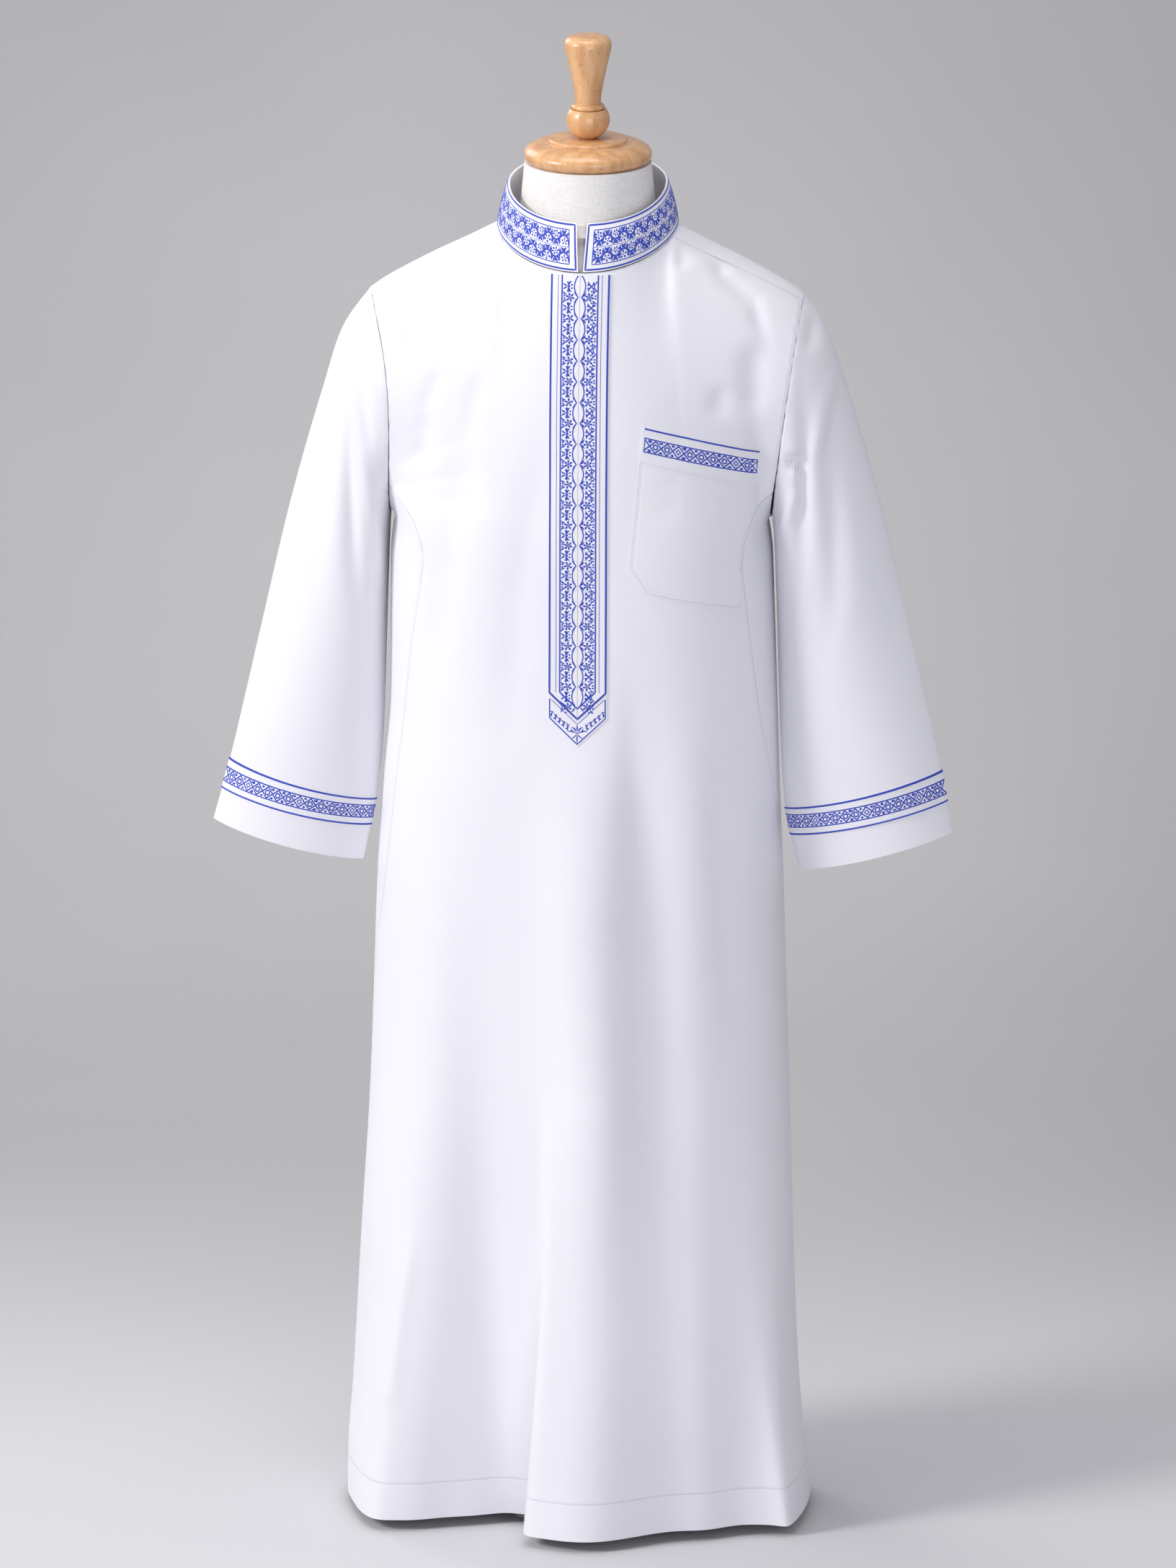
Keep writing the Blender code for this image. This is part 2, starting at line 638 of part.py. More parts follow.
def front_columns() -> list[float]:
    """Places of the front's columns across the panel, closer together at the lap fold."""
    shoulder = [NECK_SHARE * k / 8 for k in range(8)]
    fine = np.linspace(NECK_SHARE, 1 - NECK_SHARE, 401)
    weight = 1 + 4.5 * np.exp(-((fine - 0.455) / 0.035) ** 2)
    total = np.concatenate(([0.0], np.cumsum(0.5 * (weight[1:] + weight[:-1]))))
    middle = list(np.interp(np.linspace(0, total[-1], 23), total, fine))
    return shoulder + middle + [1 - s for s in reversed(shoulder)]


SKIRT_ROWS = [(k / 13) ** 1.35 for k in range(13)]
GORE_ROWS = [GORE_SHARE * k / 3 for k in range(4)]


def build_front(builder: Builder) -> None:
    """Front panel."""
    rows = SKIRT_ROWS + [1 + t for t in (*GORE_ROWS, 0.32, 0.45, 0.57, 0.68, 0.78, 0.86, 0.92, 0.965, 1)]
    points = [[panel_point(FRONT, s, v) for s in front_columns()] for v in rows]
    builder.cloth("front", grid_mesh("front", points), WALL, CLOTH)


def build_back(builder: Builder) -> None:
    """Back panel with the parts that reach over the shoulders to the forward seams."""
    shoulder = [NECK_SHARE * k / 6 for k in range(7)]
    middle = [NECK_SHARE + (1 - 2 * NECK_SHARE) * k / 10 for k in range(1, 10)]
    columns = shoulder + middle + [1 - s for s in reversed(shoulder)]
    rows = SKIRT_ROWS + [1 + t for t in (*GORE_ROWS, 0.36, 0.52, 0.68, 0.84, 1)]
    work = bmesh.new()
    work.from_mesh(grid_mesh("back", [[panel_point(BACK, s, v) for s in columns] for v in rows]))
    for side in (-1.0, 1.0):
        strip = []
        for over in (0.0, 0.45, SEAM_STOP):
            row = []
            for s in shoulder:
                ridge = shoulder_point(side, s / NECK_SHARE, False)
                seam = shoulder_point(side, s / NECK_SHARE, True)
                row.append(ridge + (seam - ridge) * over + np.array((0, 0, 4 * over * (1 - over))))
            strip.append(row if side < 0 else row[::-1])
        work.from_mesh(grid_mesh("over_shoulder", strip))
    bmesh.ops.remove_doubles(work, verts=work.verts, dist=0.01 * MM)
    bmesh.ops.recalc_face_normals(work, faces=work.faces)
    mesh = bpy.data.meshes.new("back")
    work.to_mesh(mesh)
    work.free()
    builder.cloth("back", mesh, WALL, CLOTH)


def build_side_panel(builder: Builder, side: float) -> None:
    """Gore between the front and back, whose top is the bottom of the armhole."""
    name = "side_panel_left" if side > 0 else "side_panel_right"
    across = [k / 5 for k in range(6)]
    half = 0.5 * SEAM_GAP
    points = []
    for v in SKIRT_ROWS:
        z = HEM_Z + (YOKE_Z - HEM_Z) * v
        start = seam_degrees(z, front_seam(side), side, half)
        end = seam_degrees(z, "back", side, -half)
        points.append([body_point(z, side * (start + (end - start) * u)) for u in across])
    start = seam_degrees(YOKE_Z, front_seam(side), side)
    end = seam_degrees(YOKE_Z, "back", side)
    for t in GORE_ROWS:
        grown = t / GORE_SHARE
        edges = {u: panel_side_edge(side, face, t) for u, face in ((0.0, FRONT), (1.0, BACK))}

        def flat(u: float) -> Point:
            low = body_point(YOKE_Z, side * (start + (end - start) * u))
            high = armhole_point(side, GORE_TOP_ANGLE + (2 * math.pi - 2 * GORE_TOP_ANGLE) * u)
            return low + (high - low) * grown

        row = []
        for u in across:
            inner = GORE_INSET + (1 - 2 * GORE_INSET) * u
            pull = (1 - inner) * (edges[0.0] - flat(0.0)) + inner * (edges[1.0] - flat(1.0))
            row.append(flat(inner) + pull)
        points.append(row)
    builder.cloth(name, grid_mesh(name, points), WALL, CLOTH)


def tube(surface: Surface, parts: list[float], sides: int) -> list[list[Point]]:
    """Closed rings of a sleeve at the given parts of its length."""
    return [[surface(part, 2 * math.pi * k / sides) for k in range(sides)] for part in parts]


def build_sleeve(builder: Builder, side: float) -> None:
    """Sleeve and its embroidered ribbon, which is made from the sleeve's points moved out."""
    word = "left" if side > 0 else "right"
    sides = 22
    parts = [0, 0.035, 0.075, 0.12, 0.17, 0.225, 0.285, 0.35, 0.42, 0.49, 0.56, 0.63, 0.7, 0.77,
             TRIM_TOP_PART, 0.88, TRIM_BOTTOM_PART, 0.96, 1]

    def surface(part: float, angle: float) -> Point:
        return sleeve_point(side, part, angle)

    rings = tube(surface, parts, sides)
    builder.cloth(f"sleeve_{word}", grid_mesh("sleeve", rings, closed=True), WALL, CLOTH)

    def ribbon(part: float, angle: float) -> Point:
        middle = sum(surface(part, k * math.pi / 2) for k in range(4)) / 4
        normal = normal_of(surface, part, angle)
        if np.dot(normal, surface(part, angle) - middle) < 0:
            normal = -normal
        return surface(part, angle) + normal * (0.5 * (WALL + TRIM_WALL) + OVERLAY_GAP)

    bands = tube(ribbon, [TRIM_TOP_PART, 0.88, TRIM_BOTTOM_PART], sides)
    builder.cloth(f"cuff_trim_{word}", grid_mesh("cuff_trim", bands, closed=True), TRIM_WALL, EMBROIDERY)


def build_collar(builder: Builder) -> None:
    """Stand-up band whose ends leave a narrow V at the front."""
    count = 40
    rows = []
    for up in (0.0, 0.33, 0.67, 1.0):
        half_gap = 0.5 * (COLLAR_GAP_BASE + (COLLAR_GAP_TOP - COLLAR_GAP_BASE) * up)
        radius = NECKLINE_X + (COLLAR_TOP_X - NECKLINE_X) * up
        start = math.degrees(half_gap / radius)
        rows.append([collar_point(start + (360 - 2 * start) * k / count, up) for k in range(count + 1)])
    builder.cloth("collar", grid_mesh("collar", rows), COLLAR_WALL, CLOTH)


def overlay(outline: Callable[[float, float], Place], columns: int, rows: int,
            out: float) -> list[list[Point]]:
    """Rows of points over the front, for a piece given by its x and z at fractions across and down."""
    return [[on_front(*outline(i / columns, j / rows), out) for i in range(columns + 1)]
            for j in range(rows + 1)]


def build_placket(builder: Builder) -> None:
    """The two sides of the slit and the pointed end below them."""
    out = 0.5 * (WALL + TRIM_WALL) + OVERLAY_GAP
    for side, name in ((-1.0, "placket_right"), (1.0, "placket_left")):
        def strip(across: float, down: float) -> Place:
            reach = SLIT / 2 + (PLACKET_HALF_WIDTH - SLIT / 2) * across
            bottom = PLACKET_CORNER_Z - PLACKET_POINT_DROP * (1 - reach / PLACKET_HALF_WIDTH)
            return side * reach, PLACKET_TOP_Z + (bottom - PLACKET_TOP_Z) * down

        builder.cloth(name, grid_mesh(name, overlay(strip, 2, 18, out)), TRIM_WALL, EMBROIDERY)

    def tip(across: float, down: float) -> Place:
        x = PLACKET_HALF_WIDTH * (2 * across - 1)
        point = PLACKET_POINT_DROP * (1 - abs(x) / PLACKET_HALF_WIDTH)
        return x, PLACKET_CORNER_Z - 1.2 * SLIT - point - (PLACKET_TIP_HEIGHT - SLIT) * down

    builder.cloth("placket_tip", grid_mesh("placket_tip", overlay(tip, 4, 2, out)), TRIM_WALL, EMBROIDERY)


def pocket_outline(across: float, down: float) -> Place:
    """Place on the pocket, with its two lower corners cut off."""
    if down <= POCKET_CUT_SHARE:
        ends = (POCKET_TOP_RIGHT, POCKET_LOW_RIGHT, POCKET_TOP_LEFT, POCKET_LOW_LEFT)
        u = down / POCKET_CUT_SHARE
    else:
        ends = (POCKET_LOW_RIGHT, POCKET_CUT_RIGHT, POCKET_LOW_LEFT, POCKET_CUT_LEFT)
        u = (down - POCKET_CUT_SHARE) / (1 - POCKET_CUT_SHARE)
    right = [a + (b - a) * u for a, b in zip(ends[0], ends[1])]
    left = [a + (b - a) * u for a, b in zip(ends[2], ends[3])]
    return right[0] + (left[0] - right[0]) * across, right[1] + (left[1] - right[1]) * across


def build_pocket(builder: Builder) -> None:
    """Patch pocket and the embroidered band over its mouth."""
    out = 0.5 * (WALL + TRIM_WALL) + POCKET_GAP
    columns = 12
    share = POCKET_TRIM_HEIGHT / (POCKET_TOP_RIGHT.z - POCKET_LOW_RIGHT.z) * POCKET_CUT_SHARE
    band_rows = (0, 0.5 * share, share)
    rows = (*band_rows, 0.36, 0.52, 0.68, POCKET_CUT_SHARE, 1)

    def patch(downs: tuple[float, ...], away: float) -> list[list[Point]]:
        return [[on_front(*pocket_outline(i / columns, down), away) for i in range(columns + 1)]
                for down in downs]

    builder.cloth("pocket", grid_mesh("pocket", patch(rows, out)), TRIM_WALL, CLOTH)
    band = patch(band_rows, out + TRIM_WALL + OVERLAY_GAP)
    builder.cloth("pocket_trim", grid_mesh("pocket_trim", band), TRIM_WALL, EMBROIDERY)


def build_form(builder: Builder) -> None:
    """Torso with shoulders just under the robe's, and its neck, as one closed loft."""
    shoulders = []
    for x in FORM_SHOULDER_X:
        z = eased(SHOULDER, "x", "ridge_z", x) - FORM_CLEARANCE
        depth = FORM_NECK_DEPTH - FORM_NECK_SLOPE * (x - NECKLINE_X)
        shoulders.append(FormRow(z, x, depth, FORM_SHOULDER_PINCH))
    rings = []
    for row in (*FORM, *shoulders, *NECK_ROWS):
        ring = []
        for k in range(FORM_RING_SIDES):
            angle = 2 * math.pi * k / FORM_RING_SIDES
            across = signed_power(math.sin(angle), row.pinch)
            along = signed_power(math.cos(angle), row.pinch)
            ring.append(np.array((row.half_width * across, -row.half_depth * along, row.z)))
        rings.append(ring)
    work = bmesh.new()
    work.from_mesh(grid_mesh("dress_form", rings, closed=True))
    bmesh.ops.holes_fill(work, edges=[edge for edge in work.edges if edge.is_boundary], sides=0)
    bmesh.ops.recalc_face_normals(work, faces=work.faces)
    mesh = bpy.data.meshes.new("dress_form")
    work.to_mesh(mesh)
    work.free()
    builder.add("dress_form", mesh, LINEN)


def arc(centre: Place, radius: float, start_deg: float, end_deg: float, count: int) -> list[Place]:
    """Points of a profile's round stretch; angles from straight out, up being positive."""
    angles = [math.radians(start_deg + (end_deg - start_deg) * k / count) for k in range(count + 1)]
    return [(centre[0] + radius * math.cos(a), centre[1] + radius * math.sin(a)) for a in angles]


def build_cap(builder: Builder) -> None:
    """Wooden cap on the neck, with its raised disc, and the finial that stands on it."""
    reach, rise = CAP_RADIUS - CAP_DOME_RADIUS, DISC_Z - CAP_DOME_DROP - CAP_RIM_Z
    cap = [(0, DISC_Z), *((radius, DISC_Z - drop) for radius, drop in DISC_EDGE)]
    for a in np.radians(np.arange(0, 91, 15)):
        cap.append((CAP_DOME_RADIUS + reach * math.sin(a), CAP_RIM_Z + rise * math.cos(a)))
    cap += [(radius, CAP_RIM_Z - drop) for radius, drop in CAP_UNDERCUT]
    builder.turned("neck_cap", cap + [(0, CAP_Z)], 36, WOOD)
    finial = [(0, FINIAL_Z), *((radius, FINIAL_Z - drop) for radius, drop in HANDLE)]
    finial += arc((BEAD_NECK_RADIUS, BEAD_Z), BEAD_ROUND, 70, -70, 4)
    for a in np.radians(np.linspace(BALL_TOP_DEG, BALL_LOW_DEG, 9)):
        finial.append((BALL_RADIUS * math.cos(a), BALL_Z + BALL_HALF_HEIGHT * math.sin(a)))
    builder.turned("finial", finial + [(0, finial[-1][1])], 28, WOOD)


def build_stand(builder: Builder) -> None:
    """Pole and round base inside the robe."""
    base = [(0, BASE_HEIGHT), (BASE_RADIUS - BASE_EDGE, BASE_HEIGHT)]
    base += arc((BASE_RADIUS - BASE_EDGE, BASE_HEIGHT - BASE_EDGE), BASE_EDGE, 60, 0, 2)
    base += [(BASE_RADIUS, 0), (0, 0)]
    builder.turned("base", base, 48, STEEL)
    height = FORM_BOTTOM_Z - BASE_HEIGHT - 2 * SEAM_GAP
    work = bmesh.new()
    bmesh.ops.create_cone(work, cap_ends=True, segments=24, radius1=POLE_RADIUS * MM,
                          radius2=POLE_RADIUS * MM, depth=height * MM)
    mesh = bpy.data.meshes.new("pole")
    work.to_mesh(mesh)
    work.free()
    builder.add("pole", mesh, STEEL, (0, 0, BASE_HEIGHT + SEAM_GAP + height / 2))


def main() -> None:
    """Builds the robe and its form."""
    for item in list(bpy.data.objects):
        bpy.data.objects.remove(item, do_unlink=True)
    builder = Builder("thobe_on_dress_form")
    build_front(builder)
    build_back(builder)
    for side in (-1.0, 1.0):
        build_side_panel(builder, side)
        build_sleeve(builder, side)
    build_collar(builder)
    build_placket(builder)
    build_pocket(builder)
    build_form(builder)
    build_cap(builder)
    build_stand(builder)


main()
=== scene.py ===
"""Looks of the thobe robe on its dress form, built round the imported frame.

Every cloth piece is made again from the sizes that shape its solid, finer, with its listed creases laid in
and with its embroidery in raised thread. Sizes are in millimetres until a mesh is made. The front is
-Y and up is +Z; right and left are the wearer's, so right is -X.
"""

import functools
import logging
import math
from dataclasses import dataclass, field
from enum import Enum
from typing import Any, Callable, Sequence

import bmesh
import bpy
import numpy as np
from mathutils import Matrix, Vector

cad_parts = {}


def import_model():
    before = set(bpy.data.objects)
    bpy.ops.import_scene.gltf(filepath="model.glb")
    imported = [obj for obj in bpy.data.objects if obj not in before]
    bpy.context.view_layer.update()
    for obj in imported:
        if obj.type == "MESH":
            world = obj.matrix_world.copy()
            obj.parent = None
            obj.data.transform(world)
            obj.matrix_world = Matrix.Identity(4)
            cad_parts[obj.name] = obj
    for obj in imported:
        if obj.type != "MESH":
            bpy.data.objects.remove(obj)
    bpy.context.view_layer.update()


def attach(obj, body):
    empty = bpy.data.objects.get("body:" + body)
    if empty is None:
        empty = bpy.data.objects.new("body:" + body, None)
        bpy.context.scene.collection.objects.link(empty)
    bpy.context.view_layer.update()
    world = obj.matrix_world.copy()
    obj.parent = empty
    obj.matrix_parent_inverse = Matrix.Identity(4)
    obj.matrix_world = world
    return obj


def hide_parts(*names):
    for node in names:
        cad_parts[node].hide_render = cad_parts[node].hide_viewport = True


MM = 0.001
LATTICE_PITCH = 11.2
CUFF_FRAME = 1.35

Array = np.ndarray
Number = float | Array
Place = Callable[[Array, Array, Array], Array]

log = logging.getLogger("thobe")


class Face(Enum):
    """Which way a body panel looks."""
    FRONT = -1.0
    BACK = 1.0


class Side(Enum):
    """Side of the wearer."""
    RIGHT = -1.0
    LEFT = 1.0

    @property
    def word(self) -> str:
        """The side's name in piece names."""
        return self.name.lower()


class Zone(Enum):
    """Part of the robe that a crease belongs to."""
    BODY_FRONT = "front"
    BODY_BACK = "back"
    SLEEVE_RIGHT_FRONT = "right sleeve, front"
    SLEEVE_RIGHT_BACK = "right sleeve, back"
    SLEEVE_LEFT_FRONT = "left sleeve, front"
    SLEEVE_LEFT_BACK = "left sleeve, back"


class Table:
    """Sizes along one measure, each column read as a smooth curve that never overshoots its rows."""

    def __init__(self, names: str, *rows: tuple[float, ...]) -> None:
        """Keeps the rows.

        Args:
            names: names of the columns, the measure first.
            rows: one row of sizes for each place along the measure.
        """
        self.names = names.split()
        self.values = np.array(rows, float)

    def at(self, column: str, where: Number) -> Array:
        """Reads one column.

        Args:
            column: name of the column.
            where: places along the measure.

        Returns:
            The column's values there, held at the ends of the table.
        """
        xs, ys = self.values[:, 0], self.values[:, self.names.index(column)]
        where = np.clip(where, xs[0], xs[-1])
        slopes = np.diff(ys) / np.diff(xs)
        tangents = np.zeros(len(xs))
        tangents[0], tangents[-1] = slopes[0], slopes[-1]
        steady = slopes[:-1] * slopes[1:] > 0
        tangents[1:-1][steady] = (2 * slopes[:-1] * slopes[1:])[steady] / (slopes[:-1] + slopes[1:])[steady]
        i = np.clip(np.searchsorted(xs, where, side="right") - 1, 0, len(xs) - 2)
        step = xs[i + 1] - xs[i]
        u = (where - xs[i]) / step
        return ((1 + 2 * u) * (1 - u) ** 2 * ys[i] + u * (1 - u) ** 2 * step * tangents[i]
                + u * u * (3 - 2 * u) * ys[i + 1] + u * u * (u - 1) * step * tangents[i + 1])


def stacked(x: Number, y: Number, z: Number) -> Array:
    """Points from their coordinates, along a new last axis."""
    return np.stack(np.broadcast_arrays(x, y, z), axis=-1).astype(float)


def signed_power(value: Number, power: float) -> Array:
    """A power that keeps the sign of each value."""
    return np.sign(value) * np.abs(value) ** power


def smooth(value: Number, low: float, high: float) -> Array:
    """Smooth step from 0 at low to 1 at high."""
    t = np.clip((value - low) / (high - low), 0.0, 1.0)
    return t * t * (3 - 2 * t)


def unit(vectors: Array) -> Array:
    """Vectors at length one."""
    return vectors / np.maximum(np.linalg.norm(vectors, axis=-1, keepdims=True), 1e-9)


BODY = Table(
    "z right left front back",
    (12, 250, 231, 104, 132),
    (55, 249.5, 227, 107, 131),
    (140, 243.5, 219, 116, 128),
    (305, 234, 212, 128, 124),
    (455, 224.5, 208, 135, 120),
    (570, 220, 204, 137, 117),
    (685, 216, 200.5, 138, 115),
    (795, 209, 196, 138, 113),
    (880, 202, 193.5, 136, 110),
    (1045, 200.5, 188, 131, 105),
)
SIDE_SEAMS = Table(
    "z right_front left_front back",
    (12, 98, 98, 142),
    (532, 84, 92, 138),
    (704, 68, 88, 136),
    (883, 61, 66, 134),
    (1045, 49, 56, 132),
)
SHOULDER = Table(
    "x ridge_z seam_drop",
    (91, 1368, 5.5),
    (120, 1353, 6),
    (155, 1336, 6),
    (191, 1316.5, 5),
    (207, 1307, 4.5),
    (220, 1298, 4),
)
SLEEVES = {
    Side.RIGHT: Table(
        "part out_x out_z in_x in_z mid_y half_depth pinch",
        (0.0, 220.6, 1298, 203.6, 1066, 0, 70, 1.0),
        (0.12, 249.5, 1257, 204.6, 1020, -3, 65, 1.0),
        (0.3, 271, 1190, 206, 962, -6, 58, 1.15),
        (0.5, 303, 1076, 207.5, 889, -12, 50, 1.4),
        (0.7, 335, 938, 210.5, 816, -19, 42, 1.6),
        (0.845, 366, 804, 217, 764, -24, 35, 1.6),
        (1.0, 383.5, 739, 230, 699.5, -27, 31, 1.6),
    ),
    Side.LEFT: Table(
        "part out_x out_z in_x in_z mid_y half_depth pinch",
        (0.0, 220.6, 1298, 191.4, 1066, 0, 70, 1.0),
        (0.12, 241, 1268, 193, 1022, -3, 65, 1.0),
        (0.3, 264, 1205, 195, 964, -6, 58, 1.15),
        (0.5, 300, 1083, 197.5, 889, -12, 50, 1.4),
        (0.7, 330, 955, 200.5, 819, -19, 42, 1.6),
        (0.845, 364, 806.5, 205.5, 763.5, -24, 35, 1.6),
        (1.0, 376, 741, 220, 698.5, -27, 31, 1.6),
    ),
}


@dataclass(frozen=True)
class Fold:
    """A soft fold of the skirt that grows from its top down to the hem."""
    face: Face
    x_hem: float
    x_top: float
    z_top: float
    half_width: float
    height: float
    run: float = 0.0


FOLDS = (
    Fold(Face.FRONT, x_hem=-190, x_top=-150, z_top=760, half_width=44, height=34),
    Fold(Face.FRONT, x_hem=-222, x_top=-185, z_top=480, half_width=24, height=26),
    Fold(Face.FRONT, x_hem=-72, x_top=-112, z_top=820, half_width=34, height=-20),
    Fold(Face.FRONT, x_hem=22, x_top=2, z_top=960, half_width=50, height=16, run=480),
    Fold(Face.FRONT, x_hem=134, x_top=112, z_top=900, half_width=28, height=11),
    Fold(Face.FRONT, x_hem=206, x_top=172, z_top=600, half_width=36, height=27),
    Fold(Face.FRONT, x_hem=224, x_top=192, z_top=330, half_width=18, height=32),
    Fold(Face.BACK, x_hem=-152, x_top=-120, z_top=780, half_width=30, height=17),
    Fold(Face.BACK, x_hem=-66, x_top=-54, z_top=700, half_width=28, height=-14),
    Fold(Face.BACK, x_hem=30, x_top=18, z_top=820, half_width=32, height=16),
    Fold(Face.BACK, x_hem=112, x_top=92, z_top=720, half_width=26, height=-12),
)


@dataclass(frozen=True)
class SleeveFold:
    """A crease along a sleeve, by its angle round the tube at both ends."""
    start: float
    end: float
    start_deg: float
    end_deg: float
    half_width_deg: float
    depth: float


SLEEVE_FOLDS = {
    Side.RIGHT: (
        SleeveFold(start=0.05, end=0.5, start_deg=62, end_deg=118, half_width_deg=17, depth=7),
        SleeveFold(start=0.1, end=0.62, start_deg=38, end_deg=70, half_width_deg=14, depth=4),
        SleeveFold(start=0.1, end=0.55, start_deg=290, end_deg=250, half_width_deg=17, depth=6),
    ),
    Side.LEFT: (
        SleeveFold(start=0.05, end=0.42, start_deg=66, end_deg=120, half_width_deg=16, depth=7),
        SleeveFold(start=0.18, end=0.6, start_deg=45, end_deg=88, half_width_deg=15, depth=5),
        SleeveFold(start=0.1, end=0.5, start_deg=292, end_deg=246, half_width_deg=17, depth=6),
    ),
}


@dataclass(frozen=True)
class LapFold:
    """The overlapping fold in the skirt's front: the left part stands out over the right part."""
    x_hem: float = -50.0
    x_top: float = -27.0
    z_top: float = 500.0
    depth: float = 60.0
    half_width: float = 11.0
    overlap: float = 15.0
    reach: float = 165.0


@dataclass(frozen=True)
class Crease:
    """A soft trough or ridge laid along a line of x and z; a negative depth is a trough.

    The steep side is the one on the left hand when one walks the line, seen from outside the front.
    """
    zone: Zone
    path: tuple[tuple[float, float], ...]
    width: float
    depth: float
    steep: float = 1.0
    start: float = 0.0
    end: float = 0.0

    def relief(self, x: Array, z: Array) -> Array:
        """How far the crease lifts the cloth at places x and z, in mm."""
        points = np.array(self.path, float)
        lengths = np.linalg.norm(np.diff(points, axis=0), axis=1)
        before = np.concatenate(([0.0], np.cumsum(lengths)))
        nearest = np.full(np.shape(x), np.inf)
        along = np.zeros(np.shape(x))
        turned = np.zeros(np.shape(x))
        for k, length in enumerate(lengths):
            (ax, az), (bx, bz) = points[k], points[k + 1]
            t = np.clip(((x - ax) * (bx - ax) + (z - az) * (bz - az)) / length ** 2, 0.0, 1.0)
            gap_x, gap_z = x - ax - t * (bx - ax), z - az - t * (bz - az)
            gap = np.hypot(gap_x, gap_z)
            closer = gap < nearest
            nearest = np.where(closer, gap, nearest)
            along = np.where(closer, (before[k] + t * length) / before[-1], along)
            turned = np.where(closer, np.sign((bx - ax) * gap_z - (bz - az) * gap_x), turned)
        width = np.where(turned > 0, self.width * self.steep, self.width)
        grown = (self.start + (1 - self.start) * smooth(along, 0.0, 0.35)) * (
            self.end + (1 - self.end) * smooth(1 - along, 0.0, 0.35))
        return self.depth * grown * np.exp(-(nearest / width) ** 2)


CREASES = (
    Crease(Zone.BODY_FRONT, ((-150, 1321), (-165, 1291), (-172, 1276), (-179, 1250), (-182, 1224)), 8, -4.0,
           0.7),
    Crease(Zone.BODY_FRONT, ((-50, 1343), (-34, 1316)), 6, -1.6, start=0.6),
    Crease(Zone.BODY_FRONT, ((-142, 1237), (-164, 1180)), 9, -2.2),
    Crease(Zone.BODY_FRONT, ((-99, 1242), (-117, 1160)), 11, -2.0),
    Crease(Zone.BODY_FRONT, ((97, 1362), (101, 1333)), 7, -2.4, start=0.6),
    Crease(Zone.BODY_FRONT, ((129, 1350), (145, 1326)), 6, -2.0, start=0.6),
    Crease(Zone.BODY_FRONT, ((118, 1352), (145, 1324), (173, 1301), (192, 1246)), 9, -3.0, 0.7),
    Crease(Zone.BODY_FRONT, ((176, 1271), (175, 1241), (175, 1182)), 14, -4.0),
    Crease(Zone.BODY_FRONT, ((144, 1226), (137, 1185)), 11, -2.2),
    Crease(Zone.BODY_FRONT, ((-106, 1202), (-120, 1131), (-133, 1063), (-142, 977), (-153, 862)), 18, -3.5),
    Crease(Zone.BODY_FRONT, ((-34, 1208), (-44, 1117), (-60, 1014), (-65, 929), (-73, 816)), 20, -3.0),
    Crease(Zone.BODY_FRONT, ((-154, 1198), (-167, 1124)), 11, -2.6),
    Crease(Zone.BODY_FRONT, ((172, 1221), (180, 1151), (184, 1078), (190, 962)), 10, -3.5),
    Crease(Zone.BODY_FRONT, ((6, 905), (4, 760), (8, 600), (14, 420), (18, 220)), 44, 13.0),
    Crease(Zone.BODY_FRONT, ((57, 985), (61, 850), (65, 740), (68, 560), (74, 300)), 20, -8.5, 1.7),
    Crease(Zone.BODY_FRONT, ((138, 905), (142, 800), (150, 640), (164, 480)), 12, -2.5, 1.5),
    Crease(Zone.BODY_FRONT, ((-168, 345), (-197, 145)), 7, 2.0, end=1.0),
    Crease(Zone.SLEEVE_RIGHT_FRONT, ((-218, 1285), (-217, 1250), (-200, 1208)), 7, -3.0),
    Crease(Zone.SLEEVE_RIGHT_FRONT, ((-231, 1240), (-222, 1176), (-217, 1134)), 8, -3.0),
    Crease(Zone.SLEEVE_RIGHT_FRONT, ((-222, 1290), (-243, 1218), (-270, 1138)), 6, -2.0),
    Crease(Zone.SLEEVE_RIGHT_FRONT, ((-228, 1163), (-214, 1062), (-203, 993), (-199, 953)), 6, 3.0),
    Crease(Zone.SLEEVE_LEFT_FRONT, ((233, 1286), (229, 1247)), 7, -3.0),
    Crease(Zone.SLEEVE_LEFT_FRONT, ((250, 1233), (235, 1130)), 8, 3.0),
    Crease(Zone.SLEEVE_LEFT_FRONT, ((213, 1146), (213, 1130)), 9, -5.0),
    Crease(Zone.SLEEVE_LEFT_FRONT, ((221, 1120), (197, 1047)), 6, 3.0),
    Crease(Zone.SLEEVE_RIGHT_BACK, ((-215, 1270), (-222, 1200), (-232, 1120)), 8, -3.0),
    Crease(Zone.SLEEVE_RIGHT_BACK, ((-240, 1200), (-262, 1060), (-280, 930)), 12, -3.0),
    Crease(Zone.SLEEVE_LEFT_BACK, ((218, 1265), (226, 1190), (238, 1110)), 8, -3.0),
    Crease(Zone.SLEEVE_LEFT_BACK, ((246, 1190), (266, 1050), (282, 920)), 12, -3.0),
    Crease(Zone.BODY_BACK, ((-120, 1310), (-150, 1240), (-165, 1150)), 12, -3.5, start=0.4),
    Crease(Zone.BODY_BACK, ((125, 1305), (150, 1235), (160, 1160)), 12, -3.2, start=0.4),
    Crease(Zone.BODY_BACK, ((-80, 1180), (-92, 1000), (-96, 820)), 20, -3.5),
    Crease(Zone.BODY_BACK, ((60, 1160), (78, 980), (82, 800)), 18, -3.0),
    Crease(Zone.BODY_BACK, ((0, 1330), (-8, 1250)), 14, -2.0, start=0.5),
    Crease(Zone.BODY_BACK, ((140, 1130), (150, 1000), (152, 880)), 13, -3.0),
    Crease(Zone.BODY_BACK, ((-150, 1090), (-158, 960)), 13, -2.6),
)


